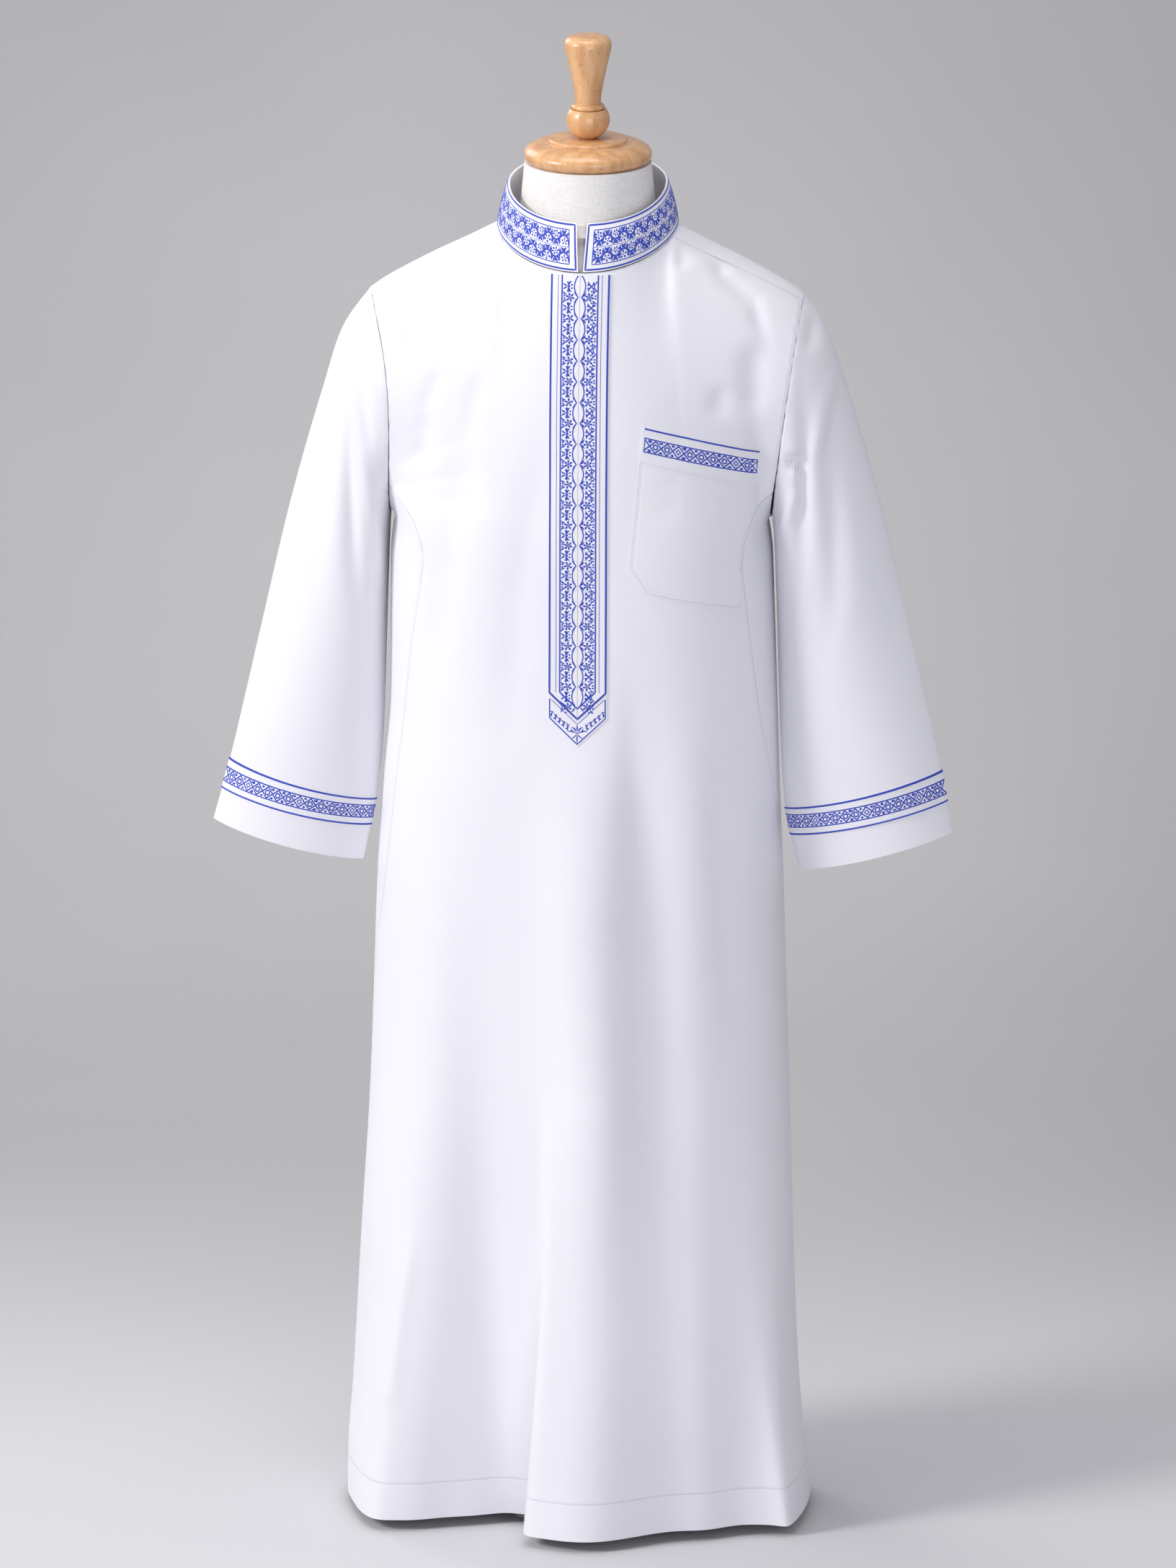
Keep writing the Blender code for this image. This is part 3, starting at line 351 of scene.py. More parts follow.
@dataclass(frozen=True)
class RobeShape:
    """Middle surface of the robe's cloth, from the sizes that shape its solids."""
    hem_z: float = 12.0
    yoke_z: float = 1045.0
    armpit_z: float = 1065.0
    section_power: float = 0.833
    seam_gap: float = 0.06
    tip_x: float = 220.0
    tip_z: float = 1298.0
    armhole_depth: float = 70.0
    gore_top_angle: float = math.radians(134)
    gore_share: float = 0.2
    seam_tip_angle: float = math.radians(12.5)
    seam_neck_y: float = -30.0
    seam_stop: float = 0.995
    neck_share: float = 0.27
    neck_turn_deg: float = 48.0
    neckline_x: float = 91.0
    neckline_front_y: float = 97.0
    neckline_back_y: float = 84.0
    neckline_side_z: float = 1368.0
    neckline_front_drop: float = 29.0
    neckline_back_rise: float = 10.0
    collar_seat: float = 1.2
    collar_x: float = 80.0
    collar_y: float = 76.0
    collar_side_z: float = 1412.0
    collar_front_drop: float = 26.0
    collar_back_rise: float = 13.0
    collar_gap_top: float = 10.4
    collar_gap_base: float = 4.6
    collar_bulge: float = 1.6
    fold_growth: float = 1.3
    fold_reach: float = 2.2
    lap_growth: float = 1.25
    armhole_set_in: float = 19.0
    armhole_gap: float = 0.6
    underarm_gap: float = 1.2
    sleeve_blend: float = 0.14
    yoke_rise: float = 270.0
    ease_reach: float = 53.0
    ease_step: float = 13.0
    lap: LapFold = field(default_factory=LapFold)

    @property
    def seam_neck_deg(self) -> float:
        """Angle round the neckline at which the forward shoulder seams end."""
        return math.degrees(math.acos(-self.seam_neck_y / self.neckline_front_y))

    def body(self, z: Number, degrees: Number) -> Array:
        """Points of the body's section.

        Args:
            z: heights.
            degrees: angles round from the front towards the left.

        Returns:
            Points with the skirt's folds and lap in them.
        """
        z, degrees = np.broadcast_arrays(np.asarray(z, float), np.asarray(degrees, float))
        angle = np.radians(degrees)
        across = signed_power(np.sin(angle), self.section_power)
        along = signed_power(np.cos(angle), self.section_power)
        x = np.where(across > 0, BODY.at("left", z), BODY.at("right", z)) * across
        face = np.where(along > 0, Face.FRONT.value, Face.BACK.value)
        y = face * np.abs(along) * np.where(along > 0, BODY.at("front", z), BODY.at("back", z))
        rise = np.zeros(z.shape)
        for fold in FOLDS:
            grown = np.clip((fold.z_top - z) / (fold.run or fold.z_top), 0.0, 1.0) ** self.fold_growth
            middle = fold.x_top + (fold.x_hem - fold.x_top) * grown
            shape = fold.height * grown * np.exp(-((x - middle) / fold.half_width) ** 2)
            rise += np.where(face == fold.face.value, shape, 0.0)
        lap = self.lap
        grown = np.clip((lap.z_top - z) / lap.z_top, 0.0, None) ** self.lap_growth * (along > 0)
        middle = lap.x_top + (lap.x_hem - lap.x_top) * grown
        t = (x - middle) / lap.half_width
        fade = np.exp(-(np.maximum(0.0, x - middle) / lap.reach) ** 2)
        rise += lap.depth * grown * 0.5 * (1 + np.tanh(1.5 * t)) * fade
        x = x - 2.33 * (lap.overlap + lap.half_width) * grown * 0.5 * t * np.exp(-t * t)
        return stacked(x, y + face * rise * np.minimum(1.0, self.fold_reach * np.abs(along)), z)

    def seam_degrees(self, z: Number, edge: str, side: Side, aside: float) -> Array:
        """Unsigned angle of an edge that lies aside mm behind a side panel's seam."""
        degrees = SIDE_SEAMS.at(edge, z)
        span = self.body(z, side.value * (degrees + 0.5)) - self.body(z, side.value * (degrees - 0.5))
        return degrees + aside / np.linalg.norm(span, axis=-1)

    def armhole(self, side: Side, angle: Number) -> Array:
        """Points of an armhole's edge, by the angle from the shoulder tip forward and under the arm."""
        angle = np.asarray(angle, float)
        armpit_x = BODY.at(side.word, self.yoke_z)
        high = 0.5 * (1 + np.cos(angle))
        x = armpit_x + (self.tip_x - armpit_x) * high
        if side is Side.RIGHT:
            x = x - self.armhole_set_in * np.sin(angle) ** 2 * (0.35 + 0.65 * high) * (angle < math.pi)
        z = self.armpit_z + (self.tip_z - self.armpit_z) * high
        return stacked(side.value * x, -self.armhole_depth * np.sin(angle), z)

    def neckline(self, degrees: Number) -> Array:
        """Points of the neckline, by the angle from the front towards the left."""
        angle = np.radians(degrees)
        forward = np.cos(angle)
        ahead = np.maximum(forward, 0.0)
        z = np.where(forward > 0, self.neckline_side_z - self.neckline_front_drop * ahead ** 1.3,
                     self.neckline_side_z - self.neckline_back_rise * forward)
        depth = np.where(forward > 0, self.neckline_front_y, self.neckline_back_y)
        return stacked(self.neckline_x * np.sin(angle), -depth * forward, z)

    def shoulder(self, side: Side, inward: Number, on_seam: bool) -> Array:
        """Points of a shoulder's ridge or of its forward seam, from the tip (0) to the neck (1)."""
        inward = np.clip(inward, 0.0, 1.0)
        tip = self.armhole(side, self.seam_tip_angle if on_seam else 0.0)
        neck = self.neckline(side.value * (self.seam_neck_deg if on_seam else 90.0))

        def height(x: Number) -> Array:
            drop = SHOULDER.at("seam_drop", x) if on_seam else 0.0
            return SHOULDER.at("ridge_z", x) - drop

        x = np.abs(tip[0] + (neck[0] - tip[0]) * inward)
        y = tip[1] + (neck[1] - tip[1]) * inward ** 0.8
        start, end = height(abs(tip[0])), height(abs(neck[0]))
        z = tip[2] + (neck[2] - tip[2]) * inward + height(x) - (start + (end - start) * inward)
        return stacked(side.value * x, y, z)

    def top_edge(self, face: Face, s: Array) -> Array:
        """Top edge of a body panel, from the right shoulder's tip (0) to the left one's (1)."""
        share = self.neck_share
        across = np.clip((s - share) / (1 - 2 * share), 0.0, 1.0) * 2 - 1
        middle = self.neckline(across * self.seam_neck_deg if face is Face.FRONT else 180 - across * 90)
        on_seam = face is Face.FRONT
        right = self.shoulder(Side.RIGHT, s / share, on_seam)
        left = self.shoulder(Side.LEFT, (1 - s) / share, on_seam)
        s = s[..., None]
        return np.where(s < share, right, np.where(s > 1 - share, left, middle))

    def side_edge(self, side: Side, face: Face, t: Array) -> Array:
        """Side edge of a panel above the yoke line: off the side panel, then up the armhole."""
        if face is Face.FRONT:
            start_deg = self.seam_degrees(self.yoke_z, f"{side.word}_front", side, -0.5 * self.seam_gap)
            low, high = self.gore_top_angle, self.seam_tip_angle
        else:
            start_deg = self.seam_degrees(self.yoke_z, "back", side, 0.5 * self.seam_gap)
            low, high = 2 * math.pi - self.gore_top_angle, 2 * math.pi
        corner = self.armhole(side, low)
        start = self.body(self.yoke_z, side.value * start_deg)
        bend = np.array((start[0] + 0.3 * (corner[0] - start[0]), start[1], corner[2] - 14))
        u = np.clip(t / self.gore_share, 0.0, 1.0)[..., None]
        below = (1 - u) ** 2 * start + 2 * u * (1 - u) * bend + u * u * corner
        climbed = np.clip((t - self.gore_share) / (1 - self.gore_share), 0, 1)
        above = self.armhole(side, low + (high - low) * climbed)
        return np.where(t[..., None] < self.gore_share, below, above)

    def edges_deg(self, face: Face, z: Number) -> tuple[Array, Array]:
        """Angles of a panel's right and left edge at a height below the yoke line."""
        half = 0.5 * self.seam_gap
        if face is Face.FRONT:
            return (-self.seam_degrees(z, "right_front", Side.RIGHT, -half),
                    self.seam_degrees(z, "left_front", Side.LEFT, -half))
        return (360 - self.seam_degrees(z, "back", Side.RIGHT, half),
                self.seam_degrees(z, "back", Side.LEFT, half))

    def yoke(self, face: Face, s: Array, t: Array) -> Array:
        """Points above the yoke line: quarter-ellipse columns drawn out to the armholes."""
        right_deg, left_deg = self.edges_deg(face, self.yoke_z)
        bottom = self.body(self.yoke_z, right_deg + (left_deg - right_deg) * s)
        top = self.top_edge(face, s)
        off_centre = np.minimum(1.0, np.abs(2 * s - 1) / (1 - 2 * self.neck_share))
        full = np.radians(self.neck_turn_deg + (90 - self.neck_turn_deg) * off_centre ** 3)
        turn = full * t
        blend = stacked(t * t * (3 - 2 * t), (1 - np.cos(turn)) / (1 - np.cos(full)),
                        np.sin(turn) / np.sin(full))
        points = bottom + (top - bottom) * blend
        for side, near in ((Side.RIGHT, 1 - 2 * s), (Side.LEFT, 2 * s - 1)):
            places, edges, softened, low, high = self.side_curves(side, face)
            edge, soft = (np.stack([np.interp(t, places, curve[:, axis]) for axis in range(3)], axis=-1)
                          for curve in (edges, softened))
            near = np.clip(near, 0.0, 1.0)[..., None]
            pull = soft + (edge - soft) * near ** 14 - low - (high - low) * blend
            points = points + near ** 1.5 * pull
        return points

    @functools.cache
    def side_curves(self, side: Side, face: Face) -> tuple[Array, Array, Array, Array, Array]:
        """A side edge as places, points and points with its corner softened, and its two ends."""
        t = np.linspace(0.0, 1.0, 801)
        spread = 0.09 * smooth(t, 0.0, 0.22) * (1 - smooth(t, 0.7, 1.0))
        softened = sum(weight / 12 * self.side_edge(side, face, t + (k - 2) * spread)
                       for k, weight in enumerate((1, 3, 4, 3, 1)))
        right_deg, left_deg = self.edges_deg(face, self.yoke_z)
        low = self.body(self.yoke_z, right_deg if side is Side.RIGHT else left_deg)
        high = self.top_edge(face, np.array(0.0 if side is Side.RIGHT else 1.0))
        return t, self.side_edge(side, face, t), softened, low, high

    def panel(self, face: Face, s: Number, v: Number) -> Array:
        """Points of the front or back.

        Args:
            face: which panel.
            s: shares of the way from the right edge to the left one.
            v: places upward: hem (0), yoke line (1) and top (2).

        Returns:
            Points of the panel's middle surface.
        """
        def creased(s: Array, v: Array) -> Array:
            z = self.hem_z + (self.yoke_z - self.hem_z) * np.minimum(v, 1.0)
            right_deg, left_deg = self.edges_deg(face, z)
            skirt = self.body(z, right_deg + (left_deg - right_deg) * s)
            return np.where((v <= 1)[..., None], skirt, self.yoke(face, s, np.maximum(v - 1, 0.0)))

        return self.eased(creased, *np.broadcast_arrays(np.clip(s, 0.0, 1.0), np.clip(v, 0.0, 2.0)))

    def eased(self, surface: Callable[[Array, Array], Array], u: Array, v: Array) -> Array:
        """Points of a panel with the turn at its yoke line drawn out into a soft curve."""
        points = surface(u, v)
        below, above = self.yoke_z - self.hem_z, self.yoke_rise
        away = (v - 1) * np.where(v < 1, below, above)
        near = np.abs(away) < self.ease_reach
        if near.any():
            spread = self.ease_step * (1 - smooth(np.abs(away[near]), 0.0, self.ease_reach))
            total = np.zeros(points[near].shape)
            for k, weight in enumerate((1, 3, 4, 3, 1)):
                moved = away[near] + (k - 2) * spread
                total = total + weight / 12 * surface(u[near], 1 + moved / np.where(moved < 0, below, above))
            points[near] = total
        return points

    def gore(self, side: Side, u: Array, v: Array) -> Array:
        """Points of a side panel, from its front seam (0) to its back seam (1) and up past the yoke line."""
        return self.eased(lambda across, up: self.creased_gore(side, across, up), u, v)

    def creased_gore(self, side: Side, u: Array, v: Array) -> Array:
        """Points of a side panel before the turn at its yoke line is eased."""
        half = 0.5 * self.seam_gap
        z = self.hem_z + (self.yoke_z - self.hem_z) * np.minimum(v, 1.0)
        start = self.seam_degrees(z, f"{side.word}_front", side, half)
        end = self.seam_degrees(z, "back", side, -half)
        skirt = self.body(z, side.value * (start + (end - start) * u))
        t = np.clip(v - 1, 0.0, self.gore_share)
        grown = (t / self.gore_share)[..., None]
        inner = 0.001 + 0.998 * u

        def flat(share: Array) -> Array:
            low = self.body(self.yoke_z, side.value * (start + (end - start) * share))
            high = self.armhole(side, self.gore_top_angle + (2 * math.pi - 2 * self.gore_top_angle) * share)
            return low + (high - low) * grown

        pull_front = self.side_edge(side, Face.FRONT, t) - flat(np.zeros_like(u))
        pull_back = self.side_edge(side, Face.BACK, t) - flat(np.ones_like(u))
        upper = flat(inner) + (1 - inner)[..., None] * pull_front + inner[..., None] * pull_back
        return np.where((v <= 1)[..., None], skirt, upper)

    def sleeve(self, side: Side, part: Number, angle: Number) -> Array:
        """Points of a sleeve.

        Args:
            side: which sleeve.
            part: shares of the way from the shoulder to the cuff.
            angle: angles from the outer edge forward, as on the armhole.

        Returns:
            Points of the sleeve's middle surface.
        """
        part, angle = np.broadcast_arrays(np.asarray(part, float), np.asarray(angle, float))
        table = SLEEVES[side]
        out_x, out_z = table.at("out_x", part), table.at("out_z", part)
        in_x, in_z, mid_y = table.at("in_x", part), table.at("in_z", part), table.at("mid_y", part)
        high = 0.5 * (1 + np.cos(angle))
        depth = table.at("half_depth", part) * signed_power(np.sin(angle), table.at("pinch", part))
        points = stacked(in_x + (out_x - in_x) * high, mid_y - depth, in_z + (out_z - in_z) * high)
        rest = self.armhole(side, angle)
        rest[..., 0] = np.abs(rest[..., 0]) + self.armhole_gap + self.underarm_gap * (1 - high) ** 3
        fade = np.clip(1 - part / self.sleeve_blend, 0.0, 1.0)[..., None] ** 2
        points = points + fade * (rest - points)
        middle = stacked(0.5 * (in_x + out_x), mid_y, 0.5 * (in_z + out_z))
        inward = unit(middle - points)
        turned = np.degrees(np.mod(angle, 2 * math.pi))
        for fold in SLEEVE_FOLDS[side]:
            u = np.clip((part - fold.start) / (fold.end - fold.start), 0.0, 1.0)
            away = (turned - fold.start_deg - (fold.end_deg - fold.start_deg) * u) / fold.half_width_deg
            dip = fold.depth * np.abs(np.sin(math.pi * u)) ** 1.5 * np.exp(-away * away)
            points = points + inward * dip[..., None]
        return points * np.array((side.value, 1.0, 1.0))

    def collar(self, share: Number, up: Number) -> Array:
        """Points of the collar band, from its right front end round (0 to 1) and from neckline to top."""
        share, up = np.broadcast_arrays(np.asarray(share, float), np.asarray(up, float))
        half_gap = 0.5 * (self.collar_gap_base + (self.collar_gap_top - self.collar_gap_base) * up)
        start = np.degrees(half_gap / (self.neckline_x + (self.collar_x - self.neckline_x) * up))
        degrees = -start - (360 - 2 * start) * share
        angle = np.radians(degrees)
        forward = np.cos(angle)
        base = self.neckline(degrees) + np.array((0, 0, self.collar_seat))
        drop = np.where(forward > 0, self.collar_front_drop, self.collar_back_rise)
        top = stacked(self.collar_x * np.sin(angle), -self.collar_y * forward,
                      self.collar_side_z - drop * forward)
        out = stacked(np.sin(angle), -forward, 0.0)
        return base + (top - base) * up[..., None] + out * (self.collar_bulge * np.sin(math.pi * up))[..., None]

    def over_front(self, x: Array, z: Array, out: Number) -> Array:
        """Points over the front panel's outside.

        Args:
            x: places across.
            z: heights.
            out: how far the points stand off the cloth's middle, in mm.

        Returns:
            Points that follow the panel and its creases.
        """
        x, z, out = np.broadcast_arrays(np.asarray(x, float), np.asarray(z, float), np.asarray(out, float))
        s, v, step = 0.5 + x / 420, 1 + (z - self.yoke_z) / 300, 1e-3
        for _ in range(9):
            here = self.panel(Face.FRONT, s, v)
            along_s = (self.panel(Face.FRONT, s + step, v) - here) / step
            along_v = (self.panel(Face.FRONT, s, v + step) - here) / step
            gap_x, gap_z = x - here[..., 0], z - here[..., 2]
            turn = along_s[..., 0] * along_v[..., 2] - along_v[..., 0] * along_s[..., 2]
            turn = np.where(np.abs(turn) < 1e-6, 1e-6, turn)
            ds = (gap_x * along_v[..., 2] - gap_z * along_v[..., 0]) / turn
            dv = (along_s[..., 0] * gap_z - along_s[..., 2] * gap_x) / turn
            s = np.clip(s + np.clip(ds, -0.1, 0.1), 0.01, 0.99)
            v = np.clip(v + np.clip(dv, -0.15, 0.15), 0.01, 1.997)
        here = self.panel(Face.FRONT, s, v)
        normal = unit(np.cross(self.panel(Face.FRONT, s + step, v) - here,
                               self.panel(Face.FRONT, s, v + step) - here))
        return here + normal * (out + relief(Zone.BODY_FRONT, here, normal))[..., None]


def relief(zone: Zone, points: Array, normals: Array) -> Array:
    """Sum of a zone's creases at points of a surface, fading where the surface turns to the side."""
    facing = normals[..., 1] * (1 if zone.name.endswith("BACK") else -1)
    lift = np.zeros(points.shape[:-1])
    for crease in CREASES:
        if crease.zone is zone:
            lift = lift + crease.relief(points[..., 0], points[..., 2])
    return lift * smooth(facing, 0.05, 0.6)


ROBE = RobeShape()


class Wire:
    """A node's output, on which Python expressions add Math nodes."""

    def __init__(self, board: "NodeBoard", socket: bpy.types.NodeSocket | None) -> None:
        """Wraps a socket of the board's material."""
        self.board = board
        self.socket = socket

    def __add__(self, other: Any) -> "Wire":
        """Sum."""
        return self.board.math("ADD", self, other)

    def __radd__(self, other: Any) -> "Wire":
        """Sum with a number on the left."""
        return self.board.math("ADD", other, self)

    def __sub__(self, other: Any) -> "Wire":
        """Difference."""
        return self.board.math("SUBTRACT", self, other)

    def __rsub__(self, other: Any) -> "Wire":
        """Difference from a number on the left."""
        return self.board.math("SUBTRACT", other, self)

    def __mul__(self, other: Any) -> "Wire":
        """Product."""
        return self.board.math("MULTIPLY", self, other)

    def __rmul__(self, other: Any) -> "Wire":
        """Product with a number on the left."""
        return self.board.math("MULTIPLY", other, self)

    def __truediv__(self, other: Any) -> "Wire":
        """Quotient."""
        return self.board.math("DIVIDE", self, other)

    def sine(self) -> "Wire":
        """Sine of the value, in radians."""
        return self.board.math("SINE", self)

    def fraction(self) -> "Wire":
        """Part of the value past the whole number below it."""
        return self.board.math("FRACT", self)

    def size(self) -> "Wire":
        """Value without its sign."""
        return self.board.math("ABSOLUTE", self)

    def step(self, low: float, high: float) -> "Wire":
        """Smooth step from 0 at low to 1 at high."""
        return self.board.add("ShaderNodeMapRange", {"interpolation_type": "SMOOTHSTEP"},
                              {"Value": self, "From Min": low, "From Max": high})

    def line(self, centre: float, half_width: float) -> "Wire":
        """Soft line, 1 where the value is centre and 0 past half_width from it."""
        return 1 - (self - centre).size().step(0.0, half_width)


class NodeBoard:
    """Adds the nodes of one material."""

    def __init__(self, name: str) -> None:
        """Makes an empty material of that name."""
        self.material = bpy.data.materials.new(name)
        self.material.use_nodes = True
        self.tree = self.material.node_tree
        self.tree.nodes.clear()

    def add(self, kind: str, settings: dict[str, Any] | None = None, values: dict[Any, Any] | None = None,
            out: str | int = 0) -> Wire:
        """Adds any node.

        Args:
            kind: the node's type.
            settings: its settings, or a ramp's stops under "stops".
            values: numbers, colours or wires of its input sockets.
            out: which output to give back.

        Returns:
            The wanted output.
        """
        node = self.tree.nodes.new(kind)
        for key, setting in (settings or {}).items():
            if key == "stops":
                ramp = node.color_ramp
                while len(ramp.elements) < len(setting):
                    ramp.elements.new(0.5)
                for element, (position, colour) in zip(ramp.elements, setting):
                    element.position, element.color = position, (*colour, 1.0)
            else:
                setattr(node, key, setting)
        for key, value in (values or {}).items():
            socket = node.inputs[key]
            if isinstance(value, Wire):
                self.tree.links.new(value.socket, socket)
            elif isinstance(value, tuple) and len(value) == 3 and len(socket.default_value) == 4:
                socket.default_value = (*value, 1.0)
            else:
                socket.default_value = value
        return Wire(self, node.outputs[out] if len(node.outputs) else None)

    def math(self, operation: str, *values: Any) -> Wire:
        """Adds a Math node for numbers or wires."""
        return self.add("ShaderNodeMath", {"operation": operation}, dict(enumerate(values)))

    def mix(self, factor: Wire | float, first: Any, second: Any) -> Wire:
        """Mixes two colours."""
        return self.add("ShaderNodeMix", {"data_type": "RGBA"}, {0: factor, 6: first, 7: second}, out=2)

    def attribute(self, name: str) -> Wire:
        """Reads a number kept on the piece's points."""
        return self.add("ShaderNodeAttribute", {"attribute_name": name}, out="Fac")

    def uv(self) -> tuple[Wire, Wire]:
        """Reads the piece's own flat pattern, in metres."""
        pattern = self.add("ShaderNodeUVMap", {"uv_map": "pattern"})
        parts = self.add("ShaderNodeSeparateXYZ", values={0: pattern}, out=0)
        return parts, Wire(self, parts.socket.node.outputs[1])

    def place(self, scale: tuple[float, float, float] = (1, 1, 1)) -> Wire:
        """Object coordinates, stretched by a scale."""
        coordinates = self.add("ShaderNodeTexCoord", out="Object")
        return self.add("ShaderNodeVectorMath", {"operation": "MULTIPLY"}, {0: coordinates, 1: scale})

    def noise(self, vector: Wire, scale: float, detail: float = 2.0) -> Wire:
        """Noise from 0 to 1."""
        return self.add("ShaderNodeTexNoise", values={"Vector": vector, "Scale": scale, "Detail": detail})

    def finish(self, colour: Any, roughness: Any, height: Wire | None = None,
               **constants: Any) -> bpy.types.Material:
        """Closes the material.

        Args:
            colour: base colour.
            roughness: roughness.
            height: relief in metres for the bump.
            constants: values of the shader's other sockets, with _ for a space.

        Returns:
            The finished material.
        """
        values = {"Base Color": colour, "Roughness": roughness}
        values.update({key.replace("_", " "): value for key, value in constants.items()})
        if height is not None:
            bump = {"Height": height, "Distance": 1.0, "Strength": 1.0}
            values["Normal"] = self.add("ShaderNodeBump", values=bump)
        shader = self.add("ShaderNodeBsdfPrincipled", values=values)
        self.add("ShaderNodeOutputMaterial", values={"Surface": shader})
        return self.material


@dataclass(frozen=True)
class TwillFinish:
    """Fine white twill, with the stitches that run beside its seams and over its hem."""
    name: str
    colour: tuple[float, float, float] = (0.84, 0.83, 0.88)
    shade: tuple[float, float, float] = (0.81, 0.80, 0.855)
    stitch_at: float = 0.0022
    hem_at: float = 0.04

    def make(self) -> bpy.types.Material:
        """Makes the material."""
        board = NodeBoard(self.name)
        u, v = board.uv()
        rib = ((u + v) * (2 * math.pi / 0.0009)).sine()
        yarn = ((u - v) * (2 * math.pi / 0.0006)).sine()
        slub = board.noise(board.place((1.0, 1.0, 0.25)), 260.0, 3.0)
        seam, hem = board.attribute("seam_distance"), board.attribute("hem_distance")
        stitch = (v * (1 / 0.0030)).fraction().line(0.5, 0.42)
        hem_stitch = (u * (1 / 0.0030)).fraction().line(0.5, 0.42)
        rows = seam.line(self.stitch_at, 0.0006) * stitch + hem.line(self.hem_at, 0.0006) * hem_stitch
        grooves = seam.line(self.stitch_at, 0.0022) + hem.line(self.hem_at, 0.0024)
        height = rib * 0.000012 + yarn * 0.000008 + slub * 0.00006 + rows * 0.0003 - grooves * 0.00022
        broad = board.noise(board.place(), 5.0, 3.0).step(0.35, 0.7)
        shadow = hem.line(self.hem_at, 0.0016) * 0.35 + seam.line(0.0, 0.0012) * 0.55
        colour = board.mix(broad * 0.5, self.colour, self.shade)
        colour = board.mix(shadow, colour, (0.50, 0.51, 0.60))
        return board.finish(colour, 0.58 + slub * 0.12, height, Sheen_Weight=0.12, Sheen_Roughness=0.4,
                            Specular_IOR_Level=0.35)


@dataclass(frozen=True)
class ThreadFinish:
    """Cobalt blue thread: satin stitches across each line, or strands that wind round a cord, with a painted
    sheen on the strands.
    """
    name: str
    wound: bool = False
    colour: tuple[float, float, float] = (0.026, 0.050, 0.42)
    # light: painted sheen colour, mixed in on each strand's crest and in random patches
    light: tuple[float, float, float] = (0.075, 0.125, 0.62)

    def make(self) -> bpy.types.Material:
        """Makes the material."""
        board = NodeBoard(self.name)
        u, v = board.uv()
        if self.wound:
            strand = ((u - v * 0.8) * (2 * math.pi / 0.0022)).sine() * 0.5 + 0.5
            height = strand * 0.00028
        else:
            strand = (u * (2 * math.pi / 0.0006)).sine() * 0.5 + 0.5
            height = strand * 0.00006
        patch = board.noise(board.place(), 420.0, 2.0)
        # Painted sheen: the thread is painted lighter on each strand's crest and in random patches.
        painted_sheen_tone = strand * 0.45 + patch * 0.5 - 0.1
        colour = board.mix(painted_sheen_tone.step(0.0, 1.0), self.colour, self.light)
        return board.finish(colour, 0.42 + patch * 0.2, height, Sheen_Weight=0.1, Sheen_Roughness=0.35,
                            Specular_IOR_Level=0.35)


@dataclass(frozen=True)
class LinenFinish:
    """Off-white plain linen stretched over the form."""
    name: str = "stretched_linen"
    colour: tuple[float, float, float] = (0.86, 0.835, 0.82)
    dark: tuple[float, float, float] = (0.75, 0.72, 0.70)

    def make(self) -> bpy.types.Material:
        """Makes the material."""
        board = NodeBoard(self.name)
        warp = board.noise(board.place((1.0, 1.0, 0.08)), 900.0, 2.0)
        weft = board.noise(board.place((0.1, 0.1, 1.0)), 900.0, 2.0)
        broad = board.noise(board.place(), 22.0, 3.0)
        cloth = warp * 0.5 + weft * 0.5
        colour = board.mix((cloth * 0.7 + broad * 0.3).step(0.35, 0.62), self.dark, self.colour)
        return board.finish(colour, 0.86, cloth * 0.0007 + broad * 0.0004, Sheen_Weight=0.1)


@dataclass(frozen=True)
class BeechFinish:
    """Light beech, turned and varnished, with its fine flecks along the grain."""
    name: str = "varnished_beech"
    light: tuple[float, float, float] = (0.78, 0.46, 0.222)
    dark: tuple[float, float, float] = (0.60, 0.30, 0.125)
    fleck: tuple[float, float, float] = (0.36, 0.15, 0.05)
    along: tuple[float, float, float] = (1.0, 1.0, 0.07)

    def make(self) -> bpy.types.Material:
        """Makes the material."""
        board = NodeBoard(self.name)
        place = board.place(self.along)
        bands = board.noise(place, 90.0, 4.0)
        fine = board.noise(place, 700.0, 2.0)
        flecks = board.noise(board.place((1.0, 1.0, 0.16)), 620.0, 1.0).step(0.60, 0.72)
        colour = board.mix(bands.step(0.3, 0.72), self.dark, self.light)
        colour = board.mix(fine.step(0.35, 0.7) * 0.25, colour, self.dark)
        colour = board.mix(flecks * 0.45, colour, self.fleck)
        return board.finish(colour, 0.34 + fine * 0.1, fine * 0.00006 - flecks * 0.00005, Coat_Weight=0.55,
                            Coat_Roughness=0.16)


@dataclass(frozen=True)
class PowderCoatFinish:
    """Smooth white powder coat on steel."""
    name: str = "white_powder_coat"
    colour: tuple[float, float, float] = (0.80, 0.80, 0.81)

    def make(self) -> bpy.types.Material:
        """Makes the material."""
        board = NodeBoard(self.name)
        orange_peel = board.noise(board.place(), 900.0, 2.0)
        wear = board.noise(board.place(), 35.0, 3.0).step(0.45, 0.8)
        colour = board.mix(wear * 0.4, self.colour, (0.70, 0.70, 0.70))
        return board.finish(colour, 0.36 + wear * 0.15, orange_peel * 0.0001)


